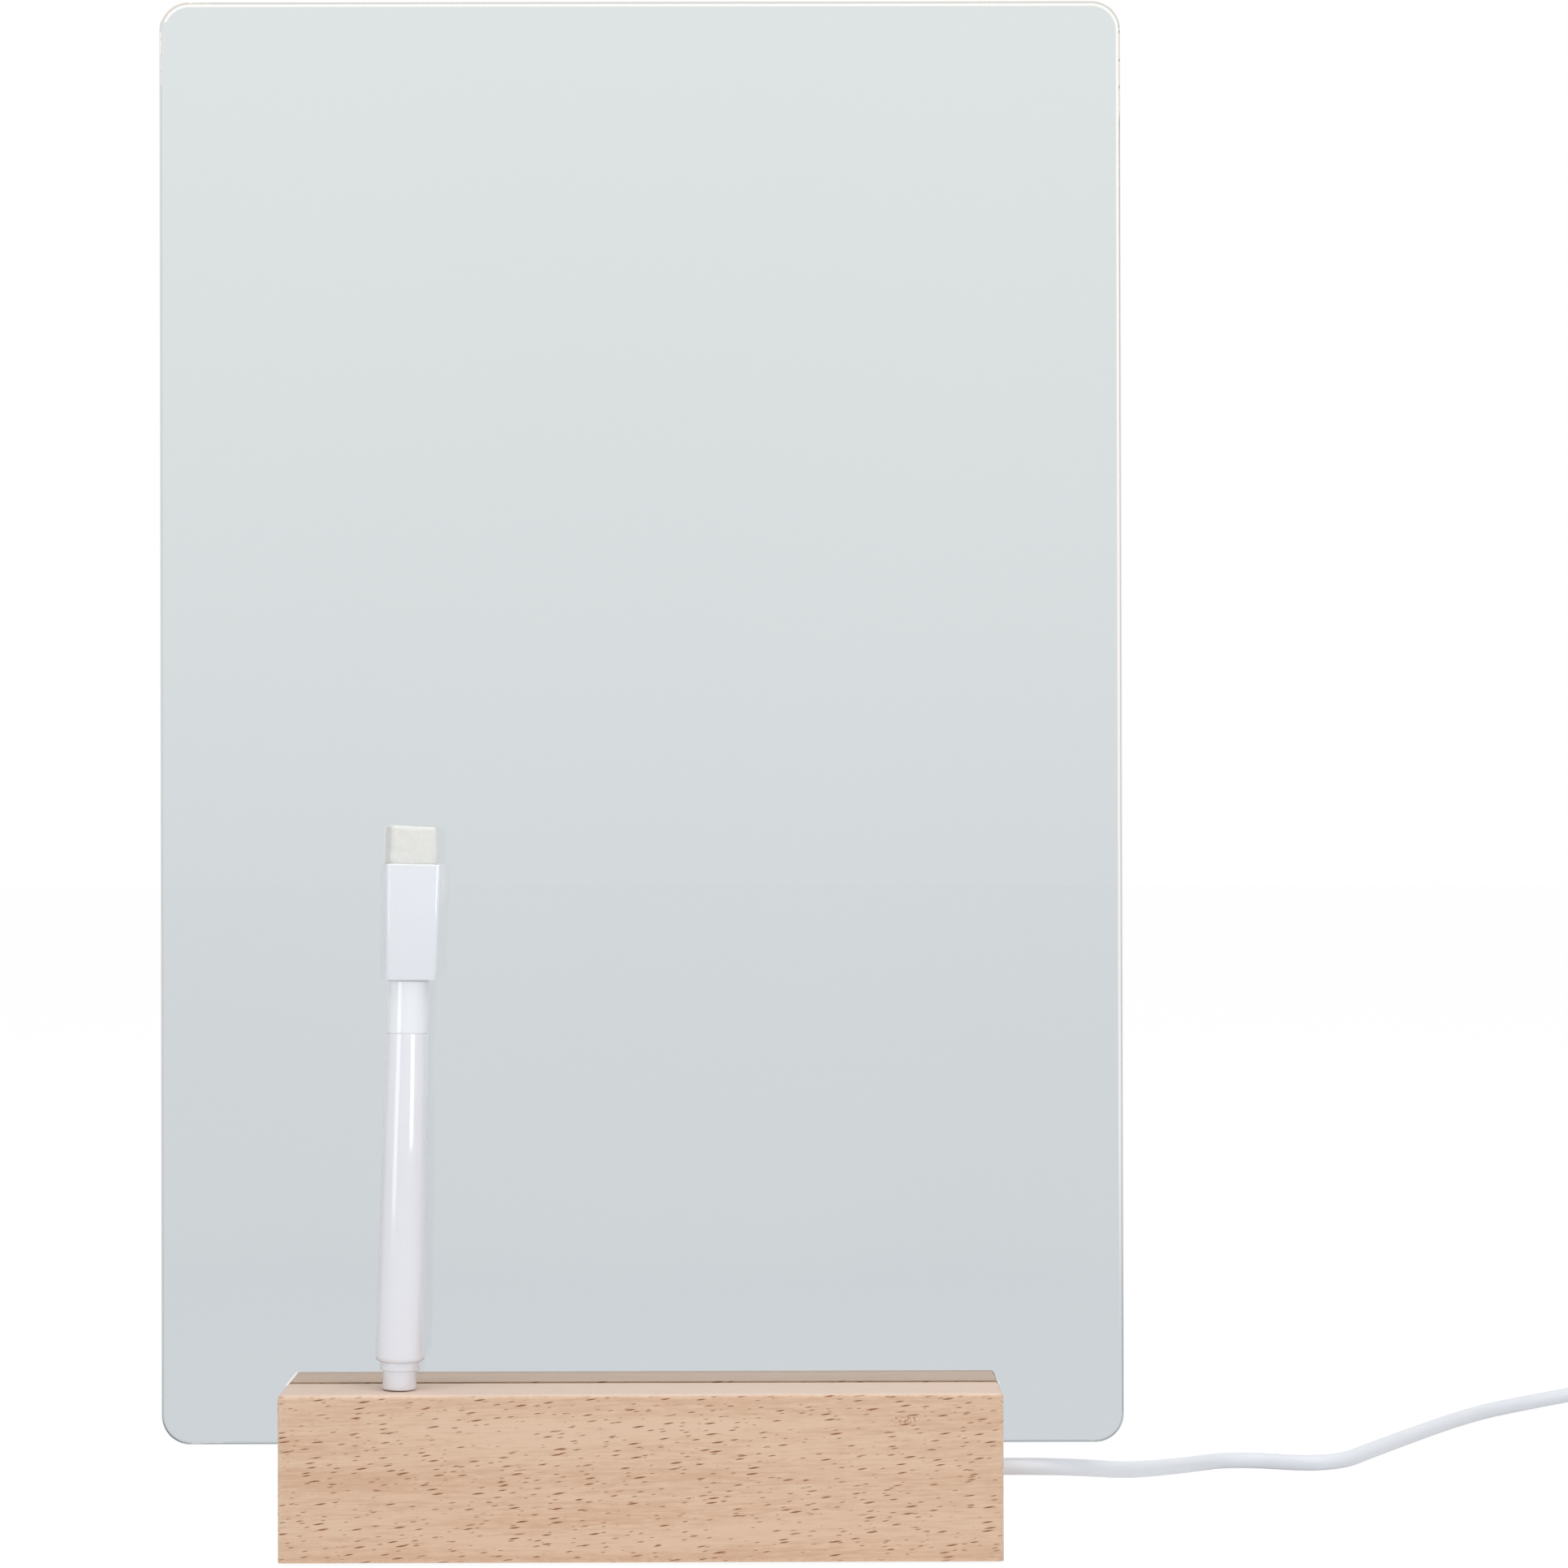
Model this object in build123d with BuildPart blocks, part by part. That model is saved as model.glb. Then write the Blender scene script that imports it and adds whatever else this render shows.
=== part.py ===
from build123d import *
import math
import os

# An LED writing board: a clear sheet that stands in a slotted beech base with a light bar
# under its lower edge, a dry marker that stands on the base's lip, and a USB lead.
# X runs to the right, Y to the back and Z up. The origin is the middle of the base's
# footprint, on the table. All sizes are in millimetres.

os.makedirs("parts", exist_ok=True)

# Clearances
slide_gap = 0.2
seat_gap = 0.1
screw_gap = 0.05

# Grip pads and cover under the base
pad_radius = 4.0
pad_thickness = 0.6
pad_x = 54.0
pad_y = 8.0
cover_length = 142.0
cover_width = 26.0
cover_thickness = 1.6
cover_corner = 2.0
cover_screw_inset = 4.5
cover_screw_y = 8.0
cover_screw_radius = 1.2
cover_screw_head_radius = 2.3
cover_screw_length = 8.0
cross_recess_width = 0.6
cross_recess_length = 2.6
cross_recess_depth = 0.7

# Wooden base
base_width = 148.0
base_depth = 34.0
base_top = 34.8
base_edge_round = 0.9
slot_depth = 12.8
cavity_length = 126.0
cavity_width = 18.0
channel_width = 8.0

# Clear board
board_width = 200.0
board_height = 300.0
board_thickness = 3.0
board_corner = 6.0
board_edge_chamfer = 0.25

# Light bar
led_board_end_gap = 5.0
led_board_width = 15.0
led_board_thickness = 1.2
led_count = 7
led_end_inset = 7.0
led_length = 3.5
led_width = 2.8
led_height = 1.0
led_headroom = 0.4
resistor_length = 2.0
resistor_width = 1.25
resistor_height = 0.5
bar_screw_inset = 4.0
bar_screw_y = 5.75
bar_screw_radius = 0.9
bar_screw_length = 6.0
bar_screw_head_radius = 1.6
bar_screw_head_height = 1.1

# Lead where it enters the base
cord_diameter = 3.6
cord_height = 17.0
cord_inner_reach = 9.0
grommet_wall = 1.2
stop_tie_width = 2.4
stop_tie_thickness = 0.9
stop_tie_head = 3.6
wire_radius = 0.55
wire_spread = 1.0
solder_radius = 1.0
solder_height = 0.5
wire_reach = 8.0

# Marker, measured along its own axis from its lower end
pen_foot_x = -49.8
pen_foot_distance = 8.2
pen_lean = 0.6
pen_side_tilt = 1.35
plug_length = 4.0
plug_radius = 3.5
ring_top = 5.7
ring_radius = 4.1
plug_spigot = 5.0
barrel_top = 73.1
barrel_low_radius = 5.1
barrel_high_radius = 4.35
barrel_shoulder = 1.1
barrel_wall = 0.8
section_top = 84.0
section_spigot = 7.0
section_wall = 0.5
neck_radius = 3.7
neck_top = 91.0
nose_radius = 1.9
nose_top = 94.5
nib_radius = 1.1
nib_top = 98.5
reservoir_radius = 2.7
reservoir_bottom = 12.0
cap_top = 107.9
cap_turn = 12.0
cap_low_width = 10.7
cap_high_width = 11.5
cap_corner = 1.2
cap_rim_round = 0.35
cap_roof = 3.0
eraser_top = 116.0
eraser_low_width = 10.1
eraser_high_width = 9.7
eraser_pocket = 1.6
eraser_corner = 1.2
eraser_edge_round = 0.6

# Switch on the lead
switch_x = 272.0
switch_y = 186.0
switch_length = 34.0
switch_width = 13.0
switch_height = 9.0
switch_corner = 3.0
switch_wall = 1.2
switch_edge_round = 0.8
boot_length = 6.0
boot_wide_radius = 3.2
boot_narrow_radius = 2.5
contact_board_length = 20.0
contact_board_width = 9.0
contact_board_thickness = 1.0
contact_board_height = 2.0
contact_size = 4.5
contact_height = 2.2
button_radius = 3.3
button_proud = 0.8
button_flange = 0.9
button_flange_height = 1.0
button_travel = 0.8

# Coil of the lead that is put away
coil_x = 286.5
coil_y = 125.0
coil_outer_radius = 27.3
coil_pitch = 4.2
coil_layer_rise = 4.2
coil_turns = 6
coil_climb = 0.5
steps_per_turn = 4
coil_tie_width = 5.0
coil_tie_thickness = 0.4
coil_tie_gap = 0.25

# USB plug
plug_body_length = 22.0
plug_body_width = 15.4
plug_body_height = 8.0
plug_body_round = 1.8
plug_boot_length = 8.0
plug_boot_wide_radius = 3.4
plug_boot_narrow_radius = 2.5
shell_length = 12.0
shell_width = 12.0
shell_height = 4.5
shell_wall = 0.35
tongue_width = 11.0
tongue_thickness = 1.9
tongue_length = 9.5
contact_width = 1.2
contact_thickness = 0.2
contact_pitch = 2.4

# Heights and widths that follow
cover_top = pad_thickness + cover_thickness
slot_floor = base_top - slot_depth
slot_width = board_thickness + 2 * slide_gap
board_bottom = slot_floor + slide_gap
led_board_top = slot_floor - led_height - led_headroom
led_board_bottom = led_board_top - led_board_thickness
cord_radius = cord_diameter / 2
base_end = base_width / 2
cavity_end = cavity_length / 2
cover_screw_x = cover_length / 2 - cover_screw_inset
led_board_length = cavity_length - 2 * led_board_end_gap
led_pitch = (led_board_length - 2 * led_end_inset) / (led_count - 1)
bar_screw_x = led_board_length / 2 - bar_screw_inset
cord_inner_end = cavity_end - cord_inner_reach
coil_low_height = coil_tie_thickness + coil_tie_gap + cord_radius


def route_radii(points):
    """One radius for each corner: 0.45 of its shorter run over the tangent of half its turn."""
    radii = []
    for before, corner, after in zip(points, points[1:], points[2:]):
        first = Vector(corner) - Vector(before)
        second = Vector(after) - Vector(corner)
        half_turn = math.radians(first.get_angle(second)) / 2
        radii.append(0.45 * min(first.length, second.length) / math.tan(half_turn))
    return radii


def line_length(line):
    """Length of a line made of several edges."""
    return sum(edge.length for edge in line.line.edges())


def report_tube(name, tube, length, smallest):
    """Prints a tube's volume beside its section times its length, and its smallest radius."""
    section = math.pi * cord_radius**2
    print(f"{name}: length {length:.1f}, smallest radius {smallest:.1f},"
          f" volume {tube.volume:.0f} of {section * length:.0f}")


# Underside: grip pads, cover and its screws

with BuildPart() as grip_pads:
    with BuildSketch():
        with GridLocations(2 * pad_x, 2 * pad_y, 2, 2):
            Circle(pad_radius)
    extrude(amount=pad_thickness)

with BuildPart() as bottom_cover:
    with BuildSketch(Plane.XY.offset(pad_thickness)):
        RectangleRounded(cover_length, cover_width, cover_corner)
    extrude(amount=cover_thickness)
    with Locations(bottom_cover.faces().sort_by(Axis.Z)[0]):
        with GridLocations(2 * cover_screw_x, 2 * cover_screw_y, 2, 2):
            CounterSinkHole(
                radius=cover_screw_radius + screw_gap,
                counter_sink_radius=cover_screw_head_radius + screw_gap,
                counter_sink_angle=90,
            )

with BuildPart() as cover_screw:
    with BuildSketch(Plane.XZ):
        with BuildLine():
            Polyline(
                (0, 0),
                (cover_screw_head_radius, 0),
                (cover_screw_radius, cover_screw_head_radius - cover_screw_radius),
                (cover_screw_radius, cover_screw_length),
                (0, cover_screw_length),
                close=True,
            )
        make_face()
    revolve(axis=Axis.Z)
    with BuildSketch():
        Rectangle(cross_recess_length, cross_recess_width)
        Rectangle(cross_recess_width, cross_recess_length)
    extrude(amount=cross_recess_depth, mode=Mode.SUBTRACT)

with BuildPart() as cover_screws:
    with Locations((0, 0, pad_thickness)):
        with GridLocations(2 * cover_screw_x, 2 * cover_screw_y, 2, 2):
            add(cover_screw.part)

# Wooden base, with the board's slot from above and the light bar's cavity from below

with BuildPart() as wood_base:
    with BuildSketch(Plane.XY.offset(pad_thickness)):
        Rectangle(base_width, base_depth)
    extrude(amount=base_top - pad_thickness)
    fillet(wood_base.edges().filter_by(Axis.Z), radius=base_edge_round)
    fillet(wood_base.edges().group_by(Axis.Z)[-1], radius=base_edge_round)
    with BuildSketch(Plane.XY.offset(slot_floor)):
        Rectangle(base_width, slot_width)
    extrude(amount=slot_depth, mode=Mode.SUBTRACT)
    with BuildSketch(Plane.XY.offset(led_board_top)):
        Rectangle(cavity_length, channel_width)
    extrude(amount=slot_floor - led_board_top, mode=Mode.SUBTRACT)
    with BuildSketch(Plane.XY.offset(cover_top)):
        Rectangle(cavity_length, cavity_width)
    extrude(amount=led_board_top - cover_top, mode=Mode.SUBTRACT)
    with BuildSketch(Plane.XY.offset(pad_thickness)):
        RectangleRounded(
            cover_length + 2 * seat_gap, cover_width + 2 * seat_gap, cover_corner + seat_gap
        )
    extrude(amount=cover_thickness, mode=Mode.SUBTRACT)
    with BuildSketch(Plane.YZ.offset(base_end)):
        with Locations((0, cord_height)):
            Circle(cord_radius + grommet_wall + seat_gap)
    extrude(amount=cavity_end - base_end, mode=Mode.SUBTRACT)
    with BuildSketch(Plane.XY.offset(cover_top)):
        with GridLocations(2 * cover_screw_x, 2 * cover_screw_y, 2, 2):
            Circle(cover_screw_radius + screw_gap)
    extrude(amount=cover_screw_length - cover_thickness + seat_gap, mode=Mode.SUBTRACT)
    with BuildSketch(Plane.XY.offset(led_board_top)):
        with GridLocations(2 * bar_screw_x, 2 * bar_screw_y, 2, 2):
            Circle(bar_screw_radius + screw_gap)
    extrude(amount=bar_screw_length - led_board_thickness + seat_gap, mode=Mode.SUBTRACT)

# Clear board

with BuildPart() as acrylic_board:
    with BuildSketch(Plane.XZ):
        with Locations((0, board_bottom + board_height / 2)):
            RectangleRounded(board_width, board_height, board_corner)
    extrude(amount=board_thickness / 2, both=True)
    front = acrylic_board.faces().sort_by(Axis.Y)[0].edges()
    back = acrylic_board.faces().sort_by(Axis.Y)[-1].edges()
    chamfer(front + back, length=board_edge_chamfer)

# Light bar under the slot

with BuildPart() as led_board:
    with BuildSketch(Plane.XY.offset(led_board_bottom)):
        Rectangle(led_board_length, led_board_width)
        with GridLocations(2 * bar_screw_x, 2 * bar_screw_y, 2, 2):
            Circle(bar_screw_radius + screw_gap, mode=Mode.SUBTRACT)
    extrude(amount=led_board_thickness)

with BuildPart() as leds:
    with BuildSketch(Plane.XY.offset(led_board_top)):
        with GridLocations(led_pitch, 0, led_count, 1):
            Rectangle(led_length, led_width)
    extrude(amount=led_height)

with BuildPart() as led_resistors:
    with BuildSketch(Plane.XY.offset(led_board_bottom)):
        with GridLocations(led_pitch, 0, led_count - 1, 1):
            Rectangle(resistor_length, resistor_width)
    extrude(amount=-resistor_height)

with BuildPart() as bar_screw:
    with BuildSketch():
        Circle(bar_screw_head_radius)
    extrude(amount=-bar_screw_head_height)
    fillet(bar_screw.edges().group_by(Axis.Z)[0], radius=bar_screw_head_height / 2)
    with BuildSketch():
        Circle(bar_screw_radius)
    extrude(amount=bar_screw_length)
    with BuildSketch(Plane.XY.offset(-bar_screw_head_height)):
        Rectangle(bar_screw_head_radius, bar_screw_head_radius / 4)
        Rectangle(bar_screw_head_radius / 4, bar_screw_head_radius)
    extrude(amount=bar_screw_head_height / 2, mode=Mode.SUBTRACT)

with BuildPart() as bar_screws:
    with Locations((0, 0, led_board_bottom)):
        with GridLocations(2 * bar_screw_x, 2 * bar_screw_y, 2, 2):
            add(bar_screw.part)

# Lead inside the base: grommet, inner end, tie that stops it pulling out, and two wires

with BuildPart() as cord_grommet:
    with BuildSketch(Plane.YZ.offset(cavity_end)):
        with Locations((0, cord_height)):
            Circle(cord_radius + grommet_wall)
            Circle(cord_radius + seat_gap, mode=Mode.SUBTRACT)
    extrude(amount=base_end - cavity_end)

with BuildPart() as cord_inside:
    with BuildSketch(Plane.YZ.offset(cord_inner_end)):
        with Locations((0, cord_height)):
            Circle(cord_radius)
    extrude(amount=base_end - cord_inner_end)

tie_place = cavity_end - stop_tie_width - seat_gap
with BuildPart() as cord_stop_tie:
    with BuildSketch(Plane.YZ.offset(tie_place)):
        with Locations((0, cord_height)):
            Circle(cord_radius + stop_tie_thickness)
        with Locations((0, cord_height - cord_radius - stop_tie_head / 2)):
            Rectangle(stop_tie_head, stop_tie_head)
        with Locations((0, cord_height)):
            Circle(cord_radius + seat_gap, mode=Mode.SUBTRACT)
    extrude(amount=stop_tie_width)

wire_end_x = cord_inner_end - wire_reach
wire_end_height = led_board_bottom - solder_height
wire_bend = 2.0


def feed_wire_path(side):
    """One wire, from the lead's inner end up to its solder joint under the light bar."""
    start = (cord_inner_end - seat_gap, side * wire_spread, cord_height)
    corner = (wire_end_x, side * (wire_spread + solder_radius), cord_height)
    end = (wire_end_x, side * (wire_spread + solder_radius), wire_end_height)
    return FilletPolyline(start, corner, end, radius=wire_bend * wire_radius)


with BuildPart() as feed_wire_red:
    with BuildLine() as red_line:
        feed_wire_path(-1)
    with BuildSketch(Plane(origin=red_line.line @ 0, z_dir=red_line.line % 0)):
        Circle(wire_radius)
    sweep(path=red_line.line)

with BuildPart() as feed_wire_black:
    with BuildLine() as black_line:
        feed_wire_path(1)
    with BuildSketch(Plane(origin=black_line.line @ 0, z_dir=black_line.line % 0)):
        Circle(wire_radius)
    sweep(path=black_line.line)

with BuildPart() as solder_joints:
    with BuildSketch(Plane.XY.offset(wire_end_height)):
        with Locations((wire_end_x, 0)):
            with GridLocations(0, 2 * (wire_spread + solder_radius), 1, 2):
                Circle(solder_radius)
    extrude(amount=solder_height)

# Marker, built on its own leaning axis

pen_tilt = math.hypot(math.radians(pen_lean), math.radians(pen_side_tilt))
pen_foot = Vector(
    pen_foot_x,
    -board_thickness / 2 - pen_foot_distance,
    base_top + plug_radius * pen_tilt + seat_gap,
)
pen = Plane(Location(pen_foot, (-pen_lean, pen_side_tilt, 0)))
pen_side = Plane(origin=pen.origin, x_dir=pen.x_dir, z_dir=-pen.y_dir)
pen_axis = Axis(pen.origin, pen.z_dir)
bore_radius = barrel_high_radius - barrel_wall
spigot_radius = bore_radius - screw_gap

with BuildPart() as marker_plug:
    with BuildSketch(pen_side):
        with BuildLine():
            Polyline(
                (0, 0),
                (plug_radius, 0),
                (plug_radius, plug_length),
                (ring_radius, plug_length),
                (ring_radius, ring_top),
                (spigot_radius, ring_top),
                (spigot_radius, ring_top + plug_spigot),
                (0, ring_top + plug_spigot),
                close=True,
            )
        make_face()
    revolve(axis=pen_axis)

with BuildPart() as marker_barrel:
    with BuildSketch(pen_side):
        with BuildLine():
            Polyline(
                (bore_radius, ring_top),
                (barrel_low_radius - barrel_shoulder, ring_top),
                (barrel_low_radius, ring_top + barrel_shoulder),
                (barrel_high_radius, barrel_top),
                (bore_radius, barrel_top),
                close=True,
            )
        make_face()
    revolve(axis=pen_axis)
    fillet(
        marker_barrel.edges().filter_by(GeomType.CIRCLE)
        .filter_by(lambda edge: abs(edge.radius - barrel_low_radius) < seat_gap),
        radius=barrel_shoulder,
    )

with BuildPart() as marker_section:
    with BuildSketch(pen_side):
        with BuildLine():
            Polyline(
                (spigot_radius - section_wall, barrel_top - section_spigot),
                (spigot_radius, barrel_top - section_spigot),
                (spigot_radius, barrel_top),
                (barrel_high_radius, barrel_top),
                (barrel_high_radius, section_top),
                (neck_radius, section_top),
                (neck_radius, neck_top),
                (nose_radius, nose_top),
                (nib_radius + screw_gap, nose_top),
                (nib_radius + screw_gap, section_top),
                (spigot_radius - section_wall, section_top),
                close=True,
            )
        make_face()
    revolve(axis=pen_axis)

with BuildPart() as marker_nib:
    with BuildSketch(pen_side):
        with BuildLine():
            outline = Polyline(
                (0, section_top - seat_gap),
                (nib_radius, section_top - seat_gap),
                (nib_radius, nib_top - nib_radius),
            )
            TangentArc(outline @ 1, (0, nib_top), tangent=outline % 1)
            Line((0, nib_top), outline @ 0)
        make_face()
    revolve(axis=pen_axis)

with BuildPart() as ink_reservoir:
    with BuildSketch(pen.offset(reservoir_bottom)):
        Circle(reservoir_radius)
    extrude(amount=section_top - 2 * seat_gap - reservoir_bottom)

# The square cap is turned a little about the marker's axis, and the eraser with it

cap_frame = Plane(pen.location * Rotation(0, 0, cap_turn))
cap_start = section_top + seat_gap
cap_bore_top = cap_top - cap_roof
with BuildPart() as marker_cap:
    with BuildSketch(cap_frame.offset(cap_start)):
        RectangleRounded(cap_low_width, cap_low_width, cap_corner)
    with BuildSketch(cap_frame.offset(cap_top)):
        RectangleRounded(cap_high_width, cap_high_width, cap_corner)
    loft()
    fillet(marker_cap.faces().sort_by(pen_axis)[0].edges(), radius=cap_rim_round)
    fillet(marker_cap.faces().sort_by(pen_axis)[-1].edges(), radius=cap_rim_round)
    with BuildSketch(cap_frame.offset(cap_start)):
        Circle(neck_radius + slide_gap)
    extrude(amount=cap_bore_top - cap_start, mode=Mode.SUBTRACT)
    with BuildSketch(cap_frame.offset(cap_top)):
        RectangleRounded(
            eraser_low_width + 2 * seat_gap, eraser_low_width + 2 * seat_gap, eraser_corner
        )
    extrude(amount=-eraser_pocket, mode=Mode.SUBTRACT)

with BuildPart() as eraser_felt:
    with BuildSketch(cap_frame.offset(cap_top - eraser_pocket)):
        RectangleRounded(eraser_low_width, eraser_low_width, eraser_corner)
    with BuildSketch(cap_frame.offset(eraser_top)):
        RectangleRounded(eraser_high_width, eraser_high_width, eraser_corner)
    loft()
    fillet(eraser_felt.faces().sort_by(pen_axis)[-1].edges(), radius=eraser_edge_round)

# Switch on the lead: two shells, boots, button and contact board

switch_middle = switch_height / 2
switch_left = switch_x - switch_length / 2
switch_right = switch_x + switch_length / 2
inner_width = switch_width - 2 * switch_wall
inner_length = switch_length - 2 * switch_wall
inner_corner = switch_corner - switch_wall
switch_ceiling = switch_height - switch_wall

with BuildPart() as switch_bottom:
    with BuildSketch():
        with Locations((switch_x, switch_y)):
            RectangleRounded(switch_length, switch_width, switch_corner)
    extrude(amount=switch_middle)
    fillet(switch_bottom.edges().group_by(Axis.Z)[0], radius=switch_edge_round)
    with BuildSketch(Plane.XY.offset(switch_wall)):
        with Locations((switch_x, switch_y)):
            RectangleRounded(inner_length, inner_width, inner_corner)
    extrude(amount=switch_middle - switch_wall, mode=Mode.SUBTRACT)
    with BuildSketch(Plane.XY.offset(switch_wall)):
        with Locations((switch_x, switch_y)):
            with GridLocations(contact_board_length - switch_wall, 0, 2, 1):
                Rectangle(switch_wall, contact_board_width)
    extrude(amount=contact_board_height - switch_wall)

with BuildPart() as switch_top:
    with BuildSketch(Plane.XY.offset(switch_middle)):
        with Locations((switch_x, switch_y)):
            RectangleRounded(switch_length, switch_width, switch_corner)
    extrude(amount=switch_height - switch_middle)
    fillet(switch_top.edges().group_by(Axis.Z)[-1], radius=switch_edge_round)
    with BuildSketch(Plane.XY.offset(switch_middle)):
        with Locations((switch_x, switch_y)):
            RectangleRounded(inner_length, inner_width, inner_corner)
    extrude(amount=switch_ceiling - switch_middle, mode=Mode.SUBTRACT)
    with BuildSketch(Plane.XY.offset(switch_ceiling)):
        with Locations((switch_x, switch_y)):
            Circle(button_radius + slide_gap)
    extrude(amount=switch_wall, mode=Mode.SUBTRACT)

contact_top = contact_board_height + contact_board_thickness + contact_height
with BuildPart() as switch_board:
    with BuildSketch(Plane.XY.offset(contact_board_height)):
        with Locations((switch_x, switch_y)):
            Rectangle(contact_board_length, contact_board_width)
    extrude(amount=contact_board_thickness)
    with BuildSketch(Plane.XY.offset(contact_board_height + contact_board_thickness)):
        with Locations((switch_x, switch_y)):
            Rectangle(contact_size, contact_size)
    extrude(amount=contact_height)

button_bottom = contact_top + button_travel + seat_gap
flange_top = switch_ceiling - seat_gap
with BuildPart() as switch_button:
    with BuildSketch(Plane.XY.offset(button_bottom)):
        with Locations((switch_x, switch_y)):
            Circle(button_radius)
    extrude(amount=switch_height + button_proud - button_bottom)
    fillet(switch_button.edges().group_by(Axis.Z)[-1], radius=button_proud / 2)
    with BuildSketch(Plane.XY.offset(flange_top - button_flange_height)):
        with Locations((switch_x, switch_y)):
            Circle(button_radius + button_flange)
    extrude(amount=button_flange_height)

with BuildPart() as switch_boots:
    for face_x, outward in ((switch_left, -1), (switch_right, 1)):
        with BuildSketch(Plane.YZ.offset(face_x)):
            with Locations((switch_y, switch_middle)):
                Circle(boot_wide_radius)
        with BuildSketch(Plane.YZ.offset(face_x + outward * boot_length)):
            with Locations((switch_y, switch_middle)):
                Circle(boot_narrow_radius)
        loft()
        with BuildSketch(Plane.YZ.offset(face_x)):
            with Locations((switch_y, switch_middle)):
                Circle(cord_radius + seat_gap)
        extrude(amount=outward * boot_length, mode=Mode.SUBTRACT)

# Coil: it spirals in along the table, climbs in the half turn where it turns back, and
# spirals out on top, clockwise seen from above


def coil_radius(turn):
    """Distance of the coil's line from its middle, after so many turns."""
    half = coil_turns / 2
    away = abs(turn - half)
    if away < coil_climb / 2:
        return coil_outer_radius - coil_pitch * (half - coil_climb / 4 - away**2 / coil_climb)
    return coil_outer_radius - coil_pitch * (half - away)


def coil_height(turn):
    """Height of the coil's line after so many turns."""
    share = (turn - coil_turns / 2) / coil_climb + 0.5
    share = min(1.0, max(0.0, share))
    return coil_low_height + coil_layer_rise * share**2 * (3 - 2 * share)


def coil_point(turn):
    angle = -2 * math.pi * turn
    radius = coil_radius(turn)
    return Vector(
        coil_x + radius * math.cos(angle), coil_y + radius * math.sin(angle), coil_height(turn)
    )


def coil_direction(turn):
    step = 0.0005
    return (coil_point(turn + step) - coil_point(turn - step)).normalized()


def biarc(start, start_direction, end, end_direction):
    """Two arcs that meet smoothly, as [first middle, joint, second middle]."""
    across = end - start
    both = start_direction + end_direction
    square = 2 * (1 - start_direction.dot(end_direction))
    reach = across.dot(both)
    if square < 1e-9:
        arm = across.dot(across) / (2 * reach)
    else:
        arm = (-reach + math.sqrt(reach**2 + square * across.dot(across))) / square
    first_corner = start + start_direction * arm
    second_corner = end - end_direction * arm
    joint = (first_corner + second_corner) * 0.5
    return [
        arc_middle(start, first_corner, joint),
        joint,
        arc_middle(joint, second_corner, end),
    ]


def arc_middle(start, corner, end):
    """The middle of the arc from start to end whose tangents meet at corner."""
    chord_middle = (start + end) * 0.5
    rise = corner - chord_middle
    half_chord = (end - start).length / 2
    sagitta = half_chord * math.tan(math.atan2(rise.length, half_chord) / 2)
    return chord_middle + rise.normalized() * sagitta


coil_start = coil_point(0) - coil_direction(0) * cord_diameter
coil_end = coil_point(coil_turns) + coil_direction(coil_turns) * cord_diameter
with BuildPart() as cord_coil:
    with BuildLine() as coil_line:
        Line(coil_start, coil_point(0))
        for step in range(coil_turns * steps_per_turn):
            turn, following = step / steps_per_turn, (step + 1) / steps_per_turn
            first_middle, joint, second_middle = biarc(
                coil_point(turn), coil_direction(turn),
                coil_point(following), coil_direction(following),
            )
            ThreePointArc(coil_point(turn), first_middle, joint)
            ThreePointArc(joint, second_middle, coil_point(following))
        Line(coil_point(coil_turns), coil_end)
    with BuildSketch(Plane(origin=coil_start, z_dir=coil_direction(0))):
        Circle(cord_radius)
    sweep(path=coil_line.line)

tie_turns = [count + 0.5 for count in range(coil_turns)]
tie_outer = max(coil_radius(turn) for turn in tie_turns) + cord_radius + coil_tie_gap
tie_inner = min(coil_radius(turn) for turn in tie_turns) - cord_radius - coil_tie_gap
tie_rise = coil_layer_rise + cord_diameter + 2 * coil_tie_gap
with BuildPart() as coil_tie:
    with BuildSketch(Plane.XZ.offset(-coil_y)):
        with Locations((coil_x - (tie_outer + tie_inner) / 2, coil_tie_thickness + tie_rise / 2)):
            RectangleRounded(
                tie_outer - tie_inner + 2 * coil_tie_thickness,
                tie_rise + 2 * coil_tie_thickness,
                cord_radius / 2 + coil_tie_thickness,
            )
            RectangleRounded(
                tie_outer - tie_inner, tie_rise, cord_radius / 2, mode=Mode.SUBTRACT
            )
    extrude(amount=coil_tie_width / 2, both=True)

# Lead from the base to the switch: out of the end, down to the table and round to the back

lead_route = [
    (base_end, 0, cord_height),
    (84, 0, 17),
    (94, 8, 15.2),
    (103, 26, 11.6),
    (113, 52, 7.6),
    (122, 82, 3),
    (134.5, 97, 1.8),
    (156.5, 88, 1.8),
    (170.5, 112, 1.8),
    (201, 160.5, 1.8),
    (220, 180, 1.8),
    (242, switch_y, switch_middle),
    (switch_left, switch_y, switch_middle),
]
with BuildPart() as cord_lead:
    with BuildLine() as lead_line:
        FilletPolyline(*lead_route, radius=route_radii(lead_route))
    with BuildSketch(Plane(origin=lead_line.line @ 0, z_dir=lead_line.line % 0)):
        Circle(cord_radius)
    sweep(path=lead_line.line)

# Lead from the switch to the coil

middle_route = [
    (switch_right, switch_y, switch_middle),
    (299, switch_y, switch_middle),
    (309, 181, 3.2),
    (314.6, 168, 2.4),
    tuple(coil_start - coil_direction(0) * 14),
    tuple(coil_start),
]
with BuildPart() as cord_middle:
    with BuildLine() as middle_line:
        FilletPolyline(*middle_route, radius=route_radii(middle_route))
    with BuildSketch(Plane(origin=middle_line.line @ 0, z_dir=middle_line.line % 0)):
        Circle(cord_radius)
    sweep(path=middle_line.line)

# Lead from the coil to the plug, which lies on the table

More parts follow.
